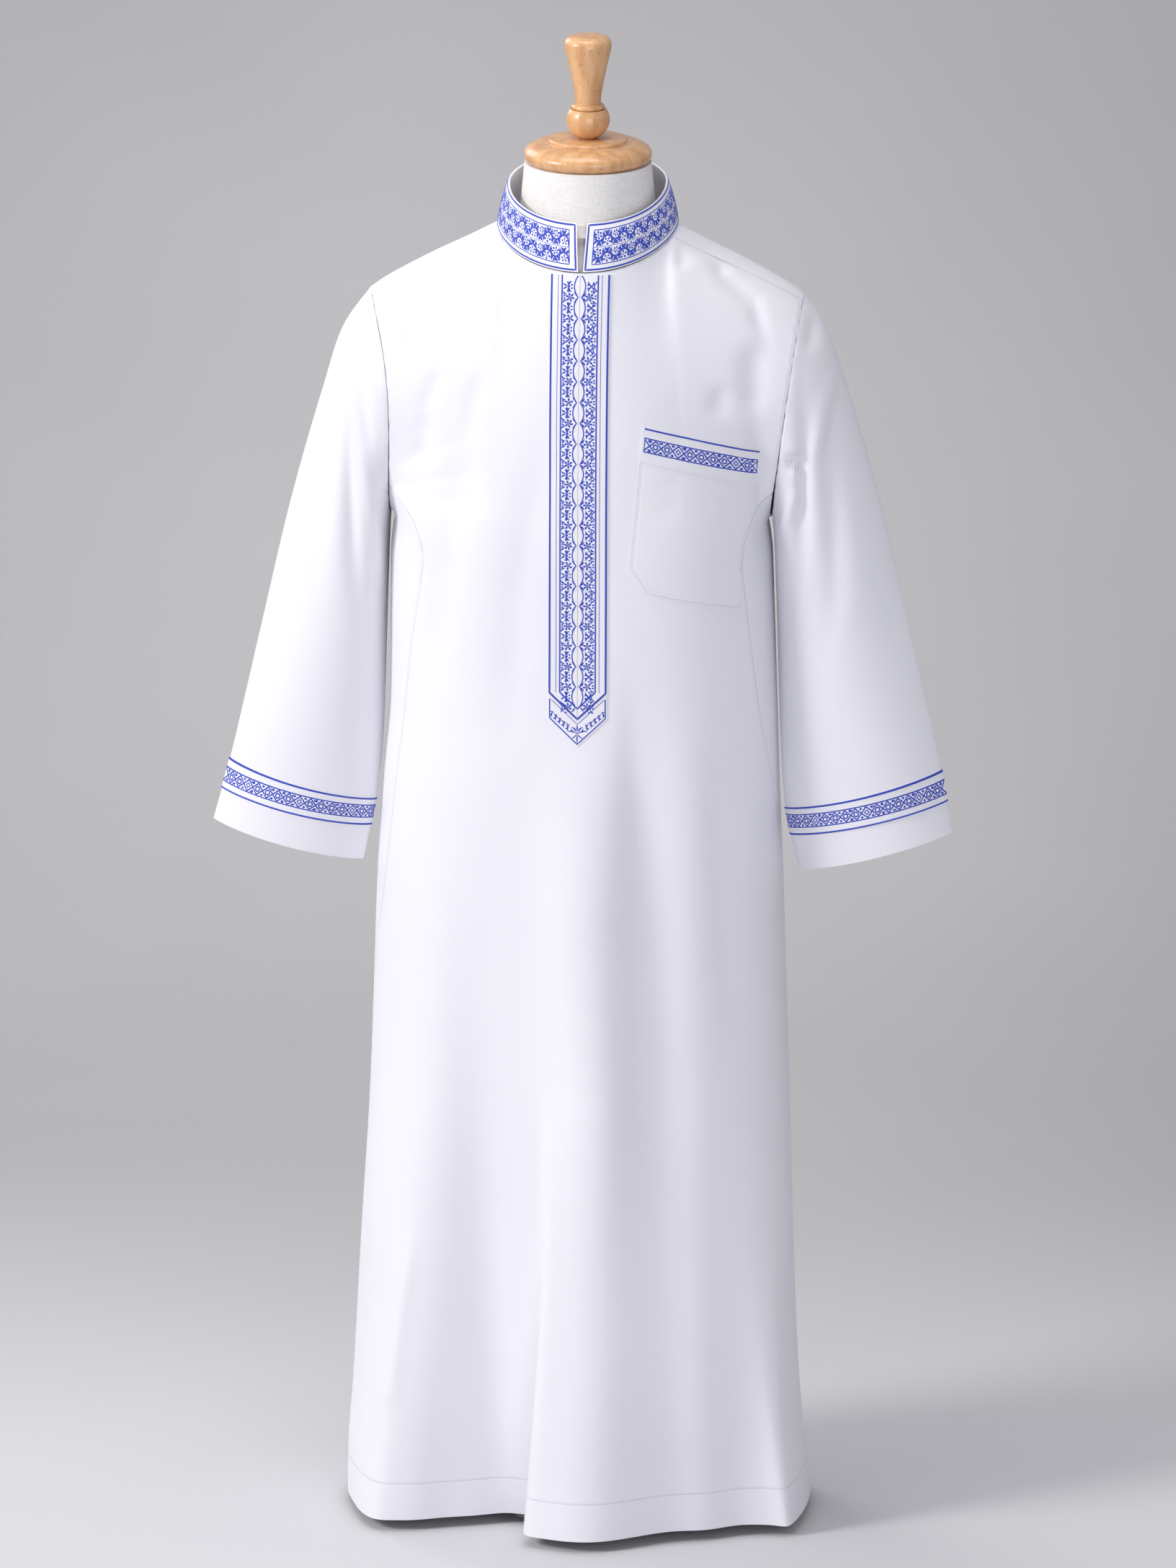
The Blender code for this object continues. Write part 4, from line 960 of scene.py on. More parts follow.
@dataclass(frozen=True)
class StudioFinish:
    """Matt grey paper of the studio's floor and backdrop, with light painted in its colour: a painted pool of
    light behind the robe, the floor painted lighter towards its front and the backdrop painted darker above.
    """
    name: str = "studio_paper"
    # low is the painted lit colour of the floor's front, high the painted dimmer grey up the backdrop.
    low: tuple[float, float, float] = (0.635, 0.63, 0.655)
    high: tuple[float, float, float] = (0.358, 0.352, 0.36)
    glow: tuple[float, float, float] = (0.525, 0.515, 0.525)

    def make(self) -> bpy.types.Material:
        """Makes the material."""
        board = NodeBoard(self.name)
        place = board.add("ShaderNodeTexCoord", out="Object")
        parts = board.add("ShaderNodeSeparateXYZ", values={0: place})
        x, y, z = (Wire(board, socket) for socket in parts.socket.node.outputs)
        cloud = (board.noise(place, 1.3, 4.0) - 0.5) * 0.5
        rise, aside = y * 0.27 + z * 0.96, x + y * 0.08
        # Painted light: a pool of light behind the robe, mottled by cloud noise.
        glow = board.math("EXPONENT", (aside * aside * 1.1 + (rise - 0.9) * (rise - 0.9) * 0.9) * -1.0)
        colour = board.mix(glow + cloud, self.high, self.glow)
        # Painted light: the floor is painted lighter towards its front, fading darker up the backdrop.
        low = board.math("SUBTRACT", 1.0, (rise + cloud * 0.16).step(0.0, 0.34))
        colour = board.mix(low, colour, self.low)
        return board.finish(colour, 0.9)


def link(name: str, mesh: bpy.types.Mesh, finish: bpy.types.Material,
         sharp_deg: float = 50.0) -> bpy.types.Object:
    """Puts a mesh in the scene as a piece.

    Args:
        name: the piece's name.
        mesh: its mesh, in metres.
        finish: its material.
        sharp_deg: edges turned further than this are shaded sharp.

    Returns:
        The piece.
    """
    mesh.name = name
    mesh.materials.clear()
    mesh.materials.append(finish)
    mesh.shade_smooth()
    mesh.set_sharp_from_angle(angle=math.radians(sharp_deg))
    piece = bpy.data.objects.new(name, mesh)
    bpy.context.scene.collection.objects.link(piece)
    return piece


@dataclass
class Cloth:
    """A piece of cloth as a grid of points in mm, its rows running up and its outside facing us."""
    name: str
    points: Array
    wall: float = 1.2
    closed: bool = False
    sewn: tuple[str, ...] = ()
    hem: str = ""

    def __post_init__(self) -> None:
        """Measures the grid along its rows and columns."""
        row_steps = np.linalg.norm(np.diff(self.points, axis=1), axis=2)
        column_steps = np.linalg.norm(np.diff(self.points, axis=0), axis=2)
        left = np.pad(np.cumsum(row_steps, axis=1), ((0, 0), (1, 0)))
        bottom = np.pad(np.cumsum(column_steps, axis=0), ((1, 0), (0, 0)))
        self.reach = {"left": left, "right": left[:, -1:] - left, "bottom": bottom, "top": bottom[-1:] - bottom}

    @property
    def flat(self) -> tuple[float, float]:
        """Width and length of the cut, in metres."""
        return float(self.reach["left"].max()) * MM * 1.001, float(self.reach["bottom"].max()) * MM * 1.001

    @property
    def area(self) -> float:
        """Area of the cloth, in square metres."""
        p = self.points * MM
        across, up = p[1:, 1:] - p[:-1, :-1], p[1:, :-1] - p[:-1, 1:]
        return float(0.5 * np.linalg.norm(np.cross(across, up), axis=2).sum())

    def normals(self) -> Array:
        """Unit normals on the outside."""
        if self.closed:
            ring = self.points[:, :-1]
            along = np.roll(ring, -1, axis=1) - np.roll(ring, 1, axis=1)
            along = np.concatenate((along, along[:, :1]), axis=1)
        else:
            along = np.gradient(self.points, axis=1)
        return unit(np.cross(along, np.gradient(self.points, axis=0)))

    def seam_distance(self) -> Array:
        """Distance of each point from the nearest sewn edge, in mm."""
        gaps = [self.reach[edge] for edge in self.sewn]
        return np.min(gaps, axis=0) if gaps else np.full(self.points.shape[:2], 200.0)

    def lift(self, zones: Sequence[Zone]) -> None:
        """Lays the creases of some zones in the cloth, draws its seams in and puckers them a little."""
        normals, gap = self.normals(), self.seam_distance()
        run = self.reach["bottom"] + 0.7 * self.reach["left"]
        height = sum(relief(zone, self.points, normals) for zone in zones)
        height = height - 0.45 * np.exp(-(gap / 1.4) ** 2)
        height = height + 0.16 * (np.sin(run / 2.9) + np.sin(run / 4.7 + 1.0)) * np.exp(-gap / 7.0) * (gap > 0)
        self.points = self.points + normals * height[..., None]

    def surface(self) -> bmesh.types.BMesh:
        """Open surface with its flat pattern and its distances from seams and hem."""
        rows, columns = self.points.shape[:2]
        work = bmesh.new()
        bmesh.ops.create_grid(work, x_segments=columns - 1, y_segments=rows - 1, size=1.0)
        pattern = work.loops.layers.uv.new("pattern")
        seam_layer = work.verts.layers.float.new("seam_distance")
        hem_layer = work.verts.layers.float.new("hem_distance")
        flat = self.points.reshape(-1, 3) * MM
        middle = self.reach["left"][:, columns // 2:columns // 2 + 1]
        u = ((self.reach["left"] - middle) * MM).ravel()
        v = (self.reach["bottom"] * MM).ravel()
        seam = (self.seam_distance() * MM).ravel()
        hem = (self.reach[self.hem] * MM).ravel() if self.hem else np.ones(rows * columns)
        work.verts.index_update()
        for vert in work.verts:
            vert.co = flat[vert.index]
            vert[seam_layer] = seam[vert.index]
            vert[hem_layer] = hem[vert.index]
        for face in work.faces:
            for loop in face.loops:
                loop[pattern].uv = (u[loop.vert.index], v[loop.vert.index])
        if self.closed:
            bmesh.ops.remove_doubles(work, verts=work.verts, dist=1e-5)
        return work

    def build(self, finish: bpy.types.Material) -> bpy.types.Object:
        """Makes the piece with its wall."""
        return wall_up(self.name, self.surface(), self.wall, finish)


def wall_up(name: str, work: bmesh.types.BMesh, wall: float, finish: bpy.types.Material) -> bpy.types.Object:
    """Gives an open surface its cloth wall, half on each side, and frees the bmesh."""
    mesh = bpy.data.meshes.new(name)
    work.to_mesh(mesh)
    work.free()
    draft = bpy.data.objects.new(name + "_draft", mesh)
    bpy.context.scene.collection.objects.link(draft)
    solidify = draft.modifiers.new("wall", "SOLIDIFY")
    solidify.thickness = wall * MM
    solidify.offset = 0.0
    bpy.context.view_layer.update()
    walled = bpy.data.meshes.new_from_object(draft.evaluated_get(bpy.context.evaluated_depsgraph_get()))
    bpy.data.objects.remove(draft)
    return link(name, walled, finish)


@functools.lru_cache(maxsize=None)
def strip_faces(stations: int) -> Array:
    """Corners of the faces of a strip with three lines of points, as Blender's grid orders them."""
    work = bmesh.new()
    bmesh.ops.create_grid(work, x_segments=2, y_segments=stations - 1, size=1.0)
    work.verts.index_update()
    faces = np.array([[vert.index for vert in face.verts] for face in work.faces])
    work.free()
    return faces


class Needlework:
    """Raised stitches drawn flat, in mm along and across a band, then laid on a surface."""

    def __init__(self) -> None:
        """Starts with no stitches."""
        self.points: list[Array] = []
        self.threads: list[Array] = []
        self.faces: list[Array] = []
        self.count = 0

    def stroke(self, path: Sequence[Sequence[float]] | Array, width: Number, rise: float = 0.35) -> None:
        """Lays one domed line of stitches.

        Args:
            path: points along and across the band; a closed line ends where it starts.
            width: its width, the same all along or one for each point.
            rise: how far its middle stands up.
        """
        path = np.asarray(path, float)
        tangent = np.gradient(path, axis=0)
        if np.allclose(path[0], path[-1]):
            tangent[0] = tangent[-1] = path[1] - path[-2]
        tangent = unit(tangent)
        normal = np.stack((-tangent[:, 1], tangent[:, 0]), axis=1)
        width = np.broadcast_to(np.asarray(width, float), (len(path),))
        run = np.concatenate(([0.0], np.cumsum(np.linalg.norm(np.diff(path, axis=0), axis=1))))
        for_points, for_threads = [], []
        for place, height in ((-0.5, -0.1), (0.0, 1.0), (0.5, -0.1)):
            aside = path + normal * (place * width)[:, None]
            lift = np.full(len(path), height * rise) * np.minimum(1.0, width / 0.6)
            for_points.append(np.column_stack((aside, lift)))
            for_threads.append(np.column_stack((run, place * width)))
        self.points.append(np.stack(for_points, axis=1).reshape(-1, 3))
        self.threads.append(np.stack(for_threads, axis=1).reshape(-1, 2))
        self.faces.append(strip_faces(len(path)) + self.count)
        self.count += 3 * len(path)

    def curve(self, line: Callable[[Array], Sequence[Array]], stations: int, width: float) -> None:
        """Lays a line given by a function of its share from 0 to 1."""
        share = np.linspace(0.0, 1.0, stations)
        self.stroke(np.column_stack(np.broadcast_arrays(*line(share))), width)

    def leaf(self, start: Sequence[float], end: Sequence[float], width: float, bend: float = 0.0) -> None:
        """Lays a pointed leaf from start to end, bent aside in the middle."""
        start, end = np.asarray(start, float), np.asarray(end, float)
        share = np.linspace(0.0, 1.0, 6)
        aside = np.array((start[1] - end[1], end[0] - start[0])) * bend
        path = start + (end - start) * share[:, None] + aside * (4 * share * (1 - share))[:, None]
        self.stroke(path, width * np.maximum(np.sin(math.pi * share ** 0.85), 0.08) ** 0.8)

    def dot(self, centre: Sequence[float], radius: float) -> None:
        """Lays a round knot."""
        turn = np.linspace(0.0, math.pi, 6)
        path = np.asarray(centre, float) + np.column_stack((-radius * np.cos(turn), np.zeros(6)))
        self.stroke(path, 2 * radius * np.maximum(np.sin(turn), 0.15))

    def ring(self, centre: Sequence[float], radius: float, width: float, corners: int = 10) -> None:
        """Lays a ring of stitches, or a polygon when it has few corners."""
        turn = np.linspace(0.0, 2 * math.pi, corners + 1)
        self.stroke(np.asarray(centre, float) + radius * np.column_stack((np.cos(turn), np.sin(turn))), width)

    def flower(self, centre: Sequence[float], radius: float, petals: int, turn_deg: float = 0.0) -> None:
        """Lays an open flower of pointed petals round a knot."""
        for k in range(petals):
            angle = math.radians(turn_deg + 360 * k / petals)
            out = np.array((math.cos(angle), math.sin(angle)))
            centre_point = np.asarray(centre, float)
            self.leaf(centre_point + out * radius * 0.34, centre_point + out * radius, radius * 0.62)
        self.dot(centre, radius * 0.2)

    def lay(self, name: str, place: Place, finish: bpy.types.Material) -> bpy.types.Object:
        """Lays all the stitches on a surface.

        Args:
            name: the piece's name.
            place: gives points in mm from places along, across and above the band.
            finish: the thread's material.

        Returns:
            The stitches as one piece.
        """
        flat = np.concatenate(self.points)
        faces = np.concatenate(self.faces)
        points = place(flat[:, 0], flat[:, 1], flat[:, 2])
        out = place(flat[:, 0], flat[:, 1], flat[:, 2] + 1.0) - points
        corners = points[faces]
        facing = np.cross(corners[:, 2] - corners[:, 0], corners[:, 3] - corners[:, 1])
        inside = np.sum(facing * out[faces[:, 0]], axis=1) < 0
        faces[inside] = faces[inside][:, ::-1]
        mesh = bpy.data.meshes.new(name)
        mesh.from_pydata(points * MM, [], faces.tolist())
        pattern = mesh.uv_layers.new(name="pattern")
        threads = np.concatenate(self.threads) * MM
        pattern.data.foreach_set("uv", threads[faces.ravel()].ravel().astype(np.float32))
        return link(name, mesh, finish, 80.0)


def spaced(weight: Callable[[Array], Array], count: int, end: float = 1.0) -> Array:
    """Places from 0 to end, closer together where the weight is larger."""
    fine = np.linspace(0.0, end, 4001)
    density = weight(fine)
    total = np.concatenate(([0.0], np.cumsum(0.5 * (density[1:] + density[:-1]))))
    return np.interp(np.linspace(0.0, total[-1], count), total, fine)


@dataclass
class Palette:
    """The finishes, made once."""
    twill: bpy.types.Material = field(default_factory=lambda: TwillFinish("white_twill").make())
    pocket_twill: bpy.types.Material = field(
        default_factory=lambda: TwillFinish("white_twill_pocket", stitch_at=0.0034).make())
    tape: bpy.types.Material = field(
        default_factory=lambda: TwillFinish("white_tape", stitch_at=-0.01, hem_at=-0.01).make())
    satin: bpy.types.Material = field(default_factory=lambda: ThreadFinish("cobalt_satin_stitch").make())
    wound: bpy.types.Material = field(default_factory=lambda: ThreadFinish("cobalt_cord", wound=True).make())
    linen: bpy.types.Material = field(default_factory=lambda: LinenFinish().make())
    beech: bpy.types.Material = field(default_factory=lambda: BeechFinish().make())
    powder_coat: bpy.types.Material = field(default_factory=lambda: PowderCoatFinish().make())


def settle(piece: bpy.types.Object, slot: str, *nodes: str) -> bpy.types.Object:
    """Puts a piece on the part's body and hides the nodes that it stands for; the slot is not used."""
    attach(piece, "root")
    if nodes:
        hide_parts(*nodes)
    log.info("%s: %d faces", piece.name, len(piece.data.polygons))
    return piece


@dataclass
class RobeBody:
    """The front, the back and the two side panels."""
    palette: Palette
    front_columns: int = 148
    back_columns: int = 100
    skirt_rows: int = 165
    yoke_rows: int = 88

    def rows(self) -> Array:
        """Places of the rows up a body panel."""
        skirt = spaced(lambda v: 1 + 2 * np.exp(-(v / 0.02) ** 2), self.skirt_rows)
        yoke = spaced(lambda t: 1 + 3 * np.exp(-((1 - t) / 0.02) ** 2), self.yoke_rows)
        return np.concatenate((skirt, 1 + yoke[1:]))

    def columns(self, count: int, lap: float) -> Array:
        """Places of the columns across a panel, with one at each end of the neckline."""
        places = spaced(lambda s: 1 + lap * np.exp(-((s - 0.455) / 0.05) ** 2)
                        + 3 * np.exp(-(s / 0.012) ** 2) + 3 * np.exp(-((1 - s) / 0.012) ** 2), count)
        for corner in (ROBE.neck_share, 1 - ROBE.neck_share):
            places[np.argmin(np.abs(places - corner))] = corner
        return places

    def front(self) -> bpy.types.Object:
        """Makes the front panel."""
        s, v = np.meshgrid(self.columns(self.front_columns, 1.6), self.rows())
        cloth = Cloth("front_cloth", ROBE.panel(Face.FRONT, s, v), sewn=("left", "right", "top"), hem="bottom")
        cloth.lift([Zone.BODY_FRONT])
        piece = settle(cloth.build(self.palette.twill), "robe_cloth", "front")
        cloth.area
        return piece

    def back(self) -> bpy.types.Object:
        """Makes the back panel with the parts that reach over the shoulders."""
        columns = self.columns(self.back_columns, 0.0)
        s, v = np.meshgrid(columns, self.rows())
        points = ROBE.panel(Face.BACK, s, v)
        cloth = Cloth("back_cloth", points[:, ::-1], sewn=("left", "right"), hem="bottom")
        cloth.lift([Zone.BODY_BACK])
        top = cloth.points[-1, ::-1]
        strips = []
        over = spaced(lambda t: 1 + 2 * np.exp(-((1 - t) / 0.1) ** 2), 16)[:, None]
        for side in Side:
            inside = columns <= ROBE.neck_share if side is Side.RIGHT else columns >= 1 - ROBE.neck_share
            places = columns[inside] if side is Side.RIGHT else 1 - columns[inside]
            inward = places / ROBE.neck_share
            seam = ROBE.shoulder(side, inward, True)
            ridge = top[inside]
            rise = stacked(0.0, 0.0, 4 * over[:, 0] * (1 - over[:, 0]))[:, None]
            reach = over[..., None] * ROBE.seam_stop
            points = ridge + (seam - ridge) * reach + rise
            points[:, :, 2] -= 0.4 * np.exp(-((1 - over) / 0.06) ** 2)
            strips.append(Cloth(f"over_shoulder_{side.word}", points, sewn=("top",)))
        work = cloth.surface()
        for strip in strips:
            mesh = bpy.data.meshes.new("strip")
            part = strip.surface()
            part.to_mesh(mesh)
            part.free()
            work.from_mesh(mesh)
            bpy.data.meshes.remove(mesh)
        bmesh.ops.remove_doubles(work, verts=work.verts, dist=1e-5)
        bmesh.ops.recalc_face_normals(work, faces=work.faces)
        piece = settle(wall_up(cloth.name, work, cloth.wall, self.palette.twill), "robe_cloth", "back")
        area = cloth.area + sum(strip.area for strip in strips)
        return piece

    def side_panel(self, side: Side) -> bpy.types.Object:
        """Makes one side panel."""
        rows = self.rows()
        across = spaced(lambda u: 1 + 3 * np.exp(-(u / 0.04) ** 2) + 3 * np.exp(-((1 - u) / 0.04) ** 2), 34)
        u, v = np.meshgrid(across, np.append(rows[rows < 1 + ROBE.gore_share], 1 + ROBE.gore_share))
        points = ROBE.gore(side, u, v)
        cloth = Cloth(f"side_panel_{side.word}_cloth", points if side is Side.LEFT else points[:, ::-1],
                      sewn=("left", "right", "top"), hem="bottom")
        cloth.lift([Zone.BODY_FRONT, Zone.BODY_BACK])
        piece = settle(cloth.build(self.palette.twill), "robe_cloth", f"side_panel_{side.word}")
        cloth.area
        return piece

    def build(self) -> None:
        """Builds the four panels."""
        self.front()
        self.back()
        for side in Side:
            self.side_panel(side)


@dataclass
class Sleeve:
    """One sleeve with the embroidered band above its cuff."""
    side: Side
    palette: Palette
    around: int = 132
    band_top: float = 0.845
    band_bottom: float = 0.915
    band_height: float = 28.5

    def zones(self) -> list[Zone]:
        """Zones of the sleeve's front and back."""
        return [Zone[f"SLEEVE_{self.side.name}_FRONT"], Zone[f"SLEEVE_{self.side.name}_BACK"]]

    def above(self, part: Number, angle: Number, out: Number) -> Array:
        """Points that stand out from the sleeve's middle surface by that many mm."""
        here, step = ROBE.sleeve(self.side, part, angle), 1e-3
        normal = unit(np.cross(ROBE.sleeve(self.side, part, np.asarray(angle) + step) - here,
                               ROBE.sleeve(self.side, np.asarray(part) + step, angle) - here)) * self.side.value
        creases = sum(relief(zone, here, normal) for zone in self.zones())
        return here + normal * (np.asarray(out, float) + creases)[..., None]

    def tube(self) -> bpy.types.Object:
        """Makes the sleeve."""
        parts = spaced(lambda p: 1 + 3 * np.exp(-(p / 0.012) ** 2) + 2 * np.exp(-((1 - p) / 0.02) ** 2), 150)
        angle, part = np.meshgrid(np.linspace(0.0, 2 * math.pi, self.around + 1), parts)
        points = ROBE.sleeve(self.side, part, angle)
        cloth = Cloth(f"sleeve_{self.side.word}_cloth", points if self.side is Side.LEFT else points[:, ::-1],
                      closed=True, sewn=("bottom",), hem="top")
        cloth.lift(self.zones())
        piece = settle(cloth.build(self.palette.twill), "robe_cloth", f"sleeve_{self.side.word}")
        cloth.area
        return piece

    def band(self) -> None:
        """Makes the embroidered band."""
        part, fine = 0.5 * (self.band_top + self.band_bottom), np.linspace(0.0, 2 * math.pi, 721)
        ring = ROBE.sleeve(self.side, part, fine)
        run = np.concatenate(([0.0], np.cumsum(np.linalg.norm(np.diff(ring, axis=0), axis=1))))

        def place(along: Array, across: Array, height: Array) -> Array:
            share = self.band_bottom + (self.band_top - self.band_bottom) * across / self.band_height
            return self.above(share, np.interp(along, run, fine), height + 1.35)

        along, across = np.meshgrid(np.linspace(0.0, run[-1], 121), np.linspace(0.0, self.band_height, 9))
        points = place(along, across, np.full(along.shape, -0.3))
        cloth = Cloth(f"cuff_band_{self.side.word}", points[::-1] if self.side is Side.LEFT else points,
                      wall=0.6, closed=True)
        piece = settle(cloth.build(self.palette.tape), "embroidery", f"cuff_trim_{self.side.word}")
        work, cords = Needlework(), Needlework()
        lattice_band(work, (0.0, run[-1]), 8.1, 20.7, CUFF_FRAME)
        line = np.linspace(0.0, run[-1], 361)
        for across_at in (1.0, self.band_height - 1.0):
            cords.stroke(np.column_stack((line, np.full(361, across_at))), 2.0, 0.8)
        stitches = settle(work.lay(f"cuff_stitches_{self.side.word}", place, self.palette.satin), "embroidery")
        cord = settle(cords.lay(f"cuff_cords_{self.side.word}", place, self.palette.wound), "embroidery")
        cloth.area

    def build(self) -> None:
        """Builds the sleeve and its band."""
        self.tube()
        self.band()


def lattice_band(work: Needlework, ends: tuple[float, float], low: float, high: float, frame: float) -> None:
    """Draws a lattice of diamonds with a ring in each and sprigs between them, inside two lines.

    Args:
        work: the needlework to add to.
        ends: where the band starts and ends along its length; one that starts at 0 runs all round.
        low: place of the lower frame line across the band.
        high: place of the upper frame line.
        frame: width of the frame lines, which the lattice's own widths follow.
    """
    start, count = ends[0], round((ends[1] - ends[0]) / LATTICE_PITCH)
    pitch, middle = (ends[1] - start) / count, 0.5 * (low + high)
    line, bold = np.linspace(start, ends[1], 10 * count + 1), frame / CUFF_FRAME
    for across in (low, high):
        work.stroke(np.column_stack((line, np.full(len(line), across))), frame)
    for along in (start + 0.6, ends[1] - 0.6) if start else ():
        work.stroke(((along, low), (along, middle), (along, high)), 1.3)
    for k in range(count):
        left = start + k * pitch
        centre = left + 0.5 * pitch
        for toward in (1.0, -1.0):
            reach, edge = 0.5 * (high - low) - 0.9, middle - toward * (0.5 * (high - low) - 0.8)
            share = np.linspace(0.0, 1.0, 8)
            diagonal = np.column_stack((left + pitch * share, middle + toward * reach * (2 * share - 1)))
            work.stroke(diagonal, 1.5 * bold)
            work.dot((centre, edge + toward * 1.3), (1.3 if k % 3 else 1.6) * bold)
            if k % 2:
                work.leaf((centre - 2.6, edge), (centre - 0.6, edge + toward * 2.4), 1.4, -0.1)
        if k:
            work.ring((left, middle), 2.3, 1.6 * bold, corners=4 if k % 5 == 3 else 10)


def vine_band(work: Needlework, start: float, end: float, low: float, high: float, pitch: float) -> None:
    """Draws a winding stem with an open flower in each hollow and leaves outside each bend."""
    count = max(1, round((end - start) / pitch))
    pitch, middle, reach = (end - start) / count, 0.5 * (low + high), 0.5 * (high - low)
    work.curve(lambda t: (start + (end - start) * t,
                          middle + 0.34 * reach * np.sin(2 * math.pi * count * t)), 14 * count + 1, 2.3)
    for k in range(2 * count):
        u, side = start + (k + 0.5) * pitch / 2, 1.0 if k % 2 == 0 else -1.0
        bend, across = middle + side * 0.34 * reach, 0.1 * pitch
        work.flower((u + (k % 3 - 1) * 0.7, middle - side * 0.42 * reach), (0.5 + 0.05 * (k % 3)) * reach,
                    5 + k % 2, 90 * side + 17 * (k % 4))
        for aside in (-1.0, 1.0):
            step, turn = aside * across, aside * side
            work.leaf((u + aside * 0.4, bend), (u + 1.7 * step, middle + side * 0.98 * reach), 3.3, 0.16 * turn)
            work.leaf((u + 0.9 * step, bend), (u + 3.0 * step, middle + side * 0.7 * reach), 2.8, -0.14 * turn)
            work.leaf((u + 2.0 * step, middle), (u + 2.4 * step, middle - side * 0.95 * reach), 2.7, 0.2 * turn)
        work.dot((u, middle + side * 0.74 * reach), 1.3)


def placket_column(work: Needlework, side: Side, top: float, bottom: float, pitch: float) -> None:
    """Draws one side of the slit: a scalloped edge, a flower at each cusp and a spray in each hollow."""
    count = round((top - bottom) / pitch)
    pitch = (top - bottom) / count

    def spot(x: Any, z: Any) -> tuple[Any, Any]:
        return side.value * np.asarray(x, float), z

    scallop = np.linspace(0.0, count, 20 * count + 1)
    edge = 1.7 + 3.9 * np.abs(np.sin(math.pi * scallop)) ** 0.8
    work.stroke(np.column_stack(spot(edge, top - pitch * scallop)), 1.65)
    for k in range(count + 1):
        cusp, hollow = top - pitch * k, top - pitch * (k + 0.5)
        if k:
            work.flower(spot(9.8, cusp), 4.7, 5 + k % 2, 90.0 + 14.0 * (k % 3))
            work.ring(spot(9.8, cusp), 1.5, 0.9, corners=8)
            for up in (-1.0, 1.0):
                work.leaf(spot(2.6, cusp + up * 0.4), spot(6.3, cusp + up * 5.2), 2.3, -0.1 * up)
                work.leaf(spot(13.0, cusp + up * 2.8), spot(17.0, cusp + up * (5.0 + k % 2)), 2.4, 0.2 * up)
                work.dot(spot(15.6, cusp + up * 1.3), 1.15)
                work.dot(spot(11.8, cusp + up * 5.7), 1.15)
        if k < count:
            work.dot(spot(11.3, hollow), 1.6)
            for up in (-1.0, 1.0):
                work.leaf(spot(11.0, hollow + up), spot(8.2, hollow + up * 5.2), 2.5, 0.2 * up)
                work.leaf(spot(11.9, hollow + up), spot(13.4, hollow + up * 5.0), 2.3, -0.2 * up)
                work.dot(spot(8.2, hollow + up * 1.6), 1.1)
                if side is Side.RIGHT or k % 3 == 1:
                    work.leaf(spot(12.8, hollow + up * 0.6), spot(16.8, hollow + up * 3.2), 2.3, 0.1 * up)
            if side is Side.LEFT and k % 3 != 1:
                work.curve(lambda t: spot(17.0 - 2.9 * np.sin(math.pi * t), hollow + 4.6 * (2 * t - 1)), 9, 1.5)


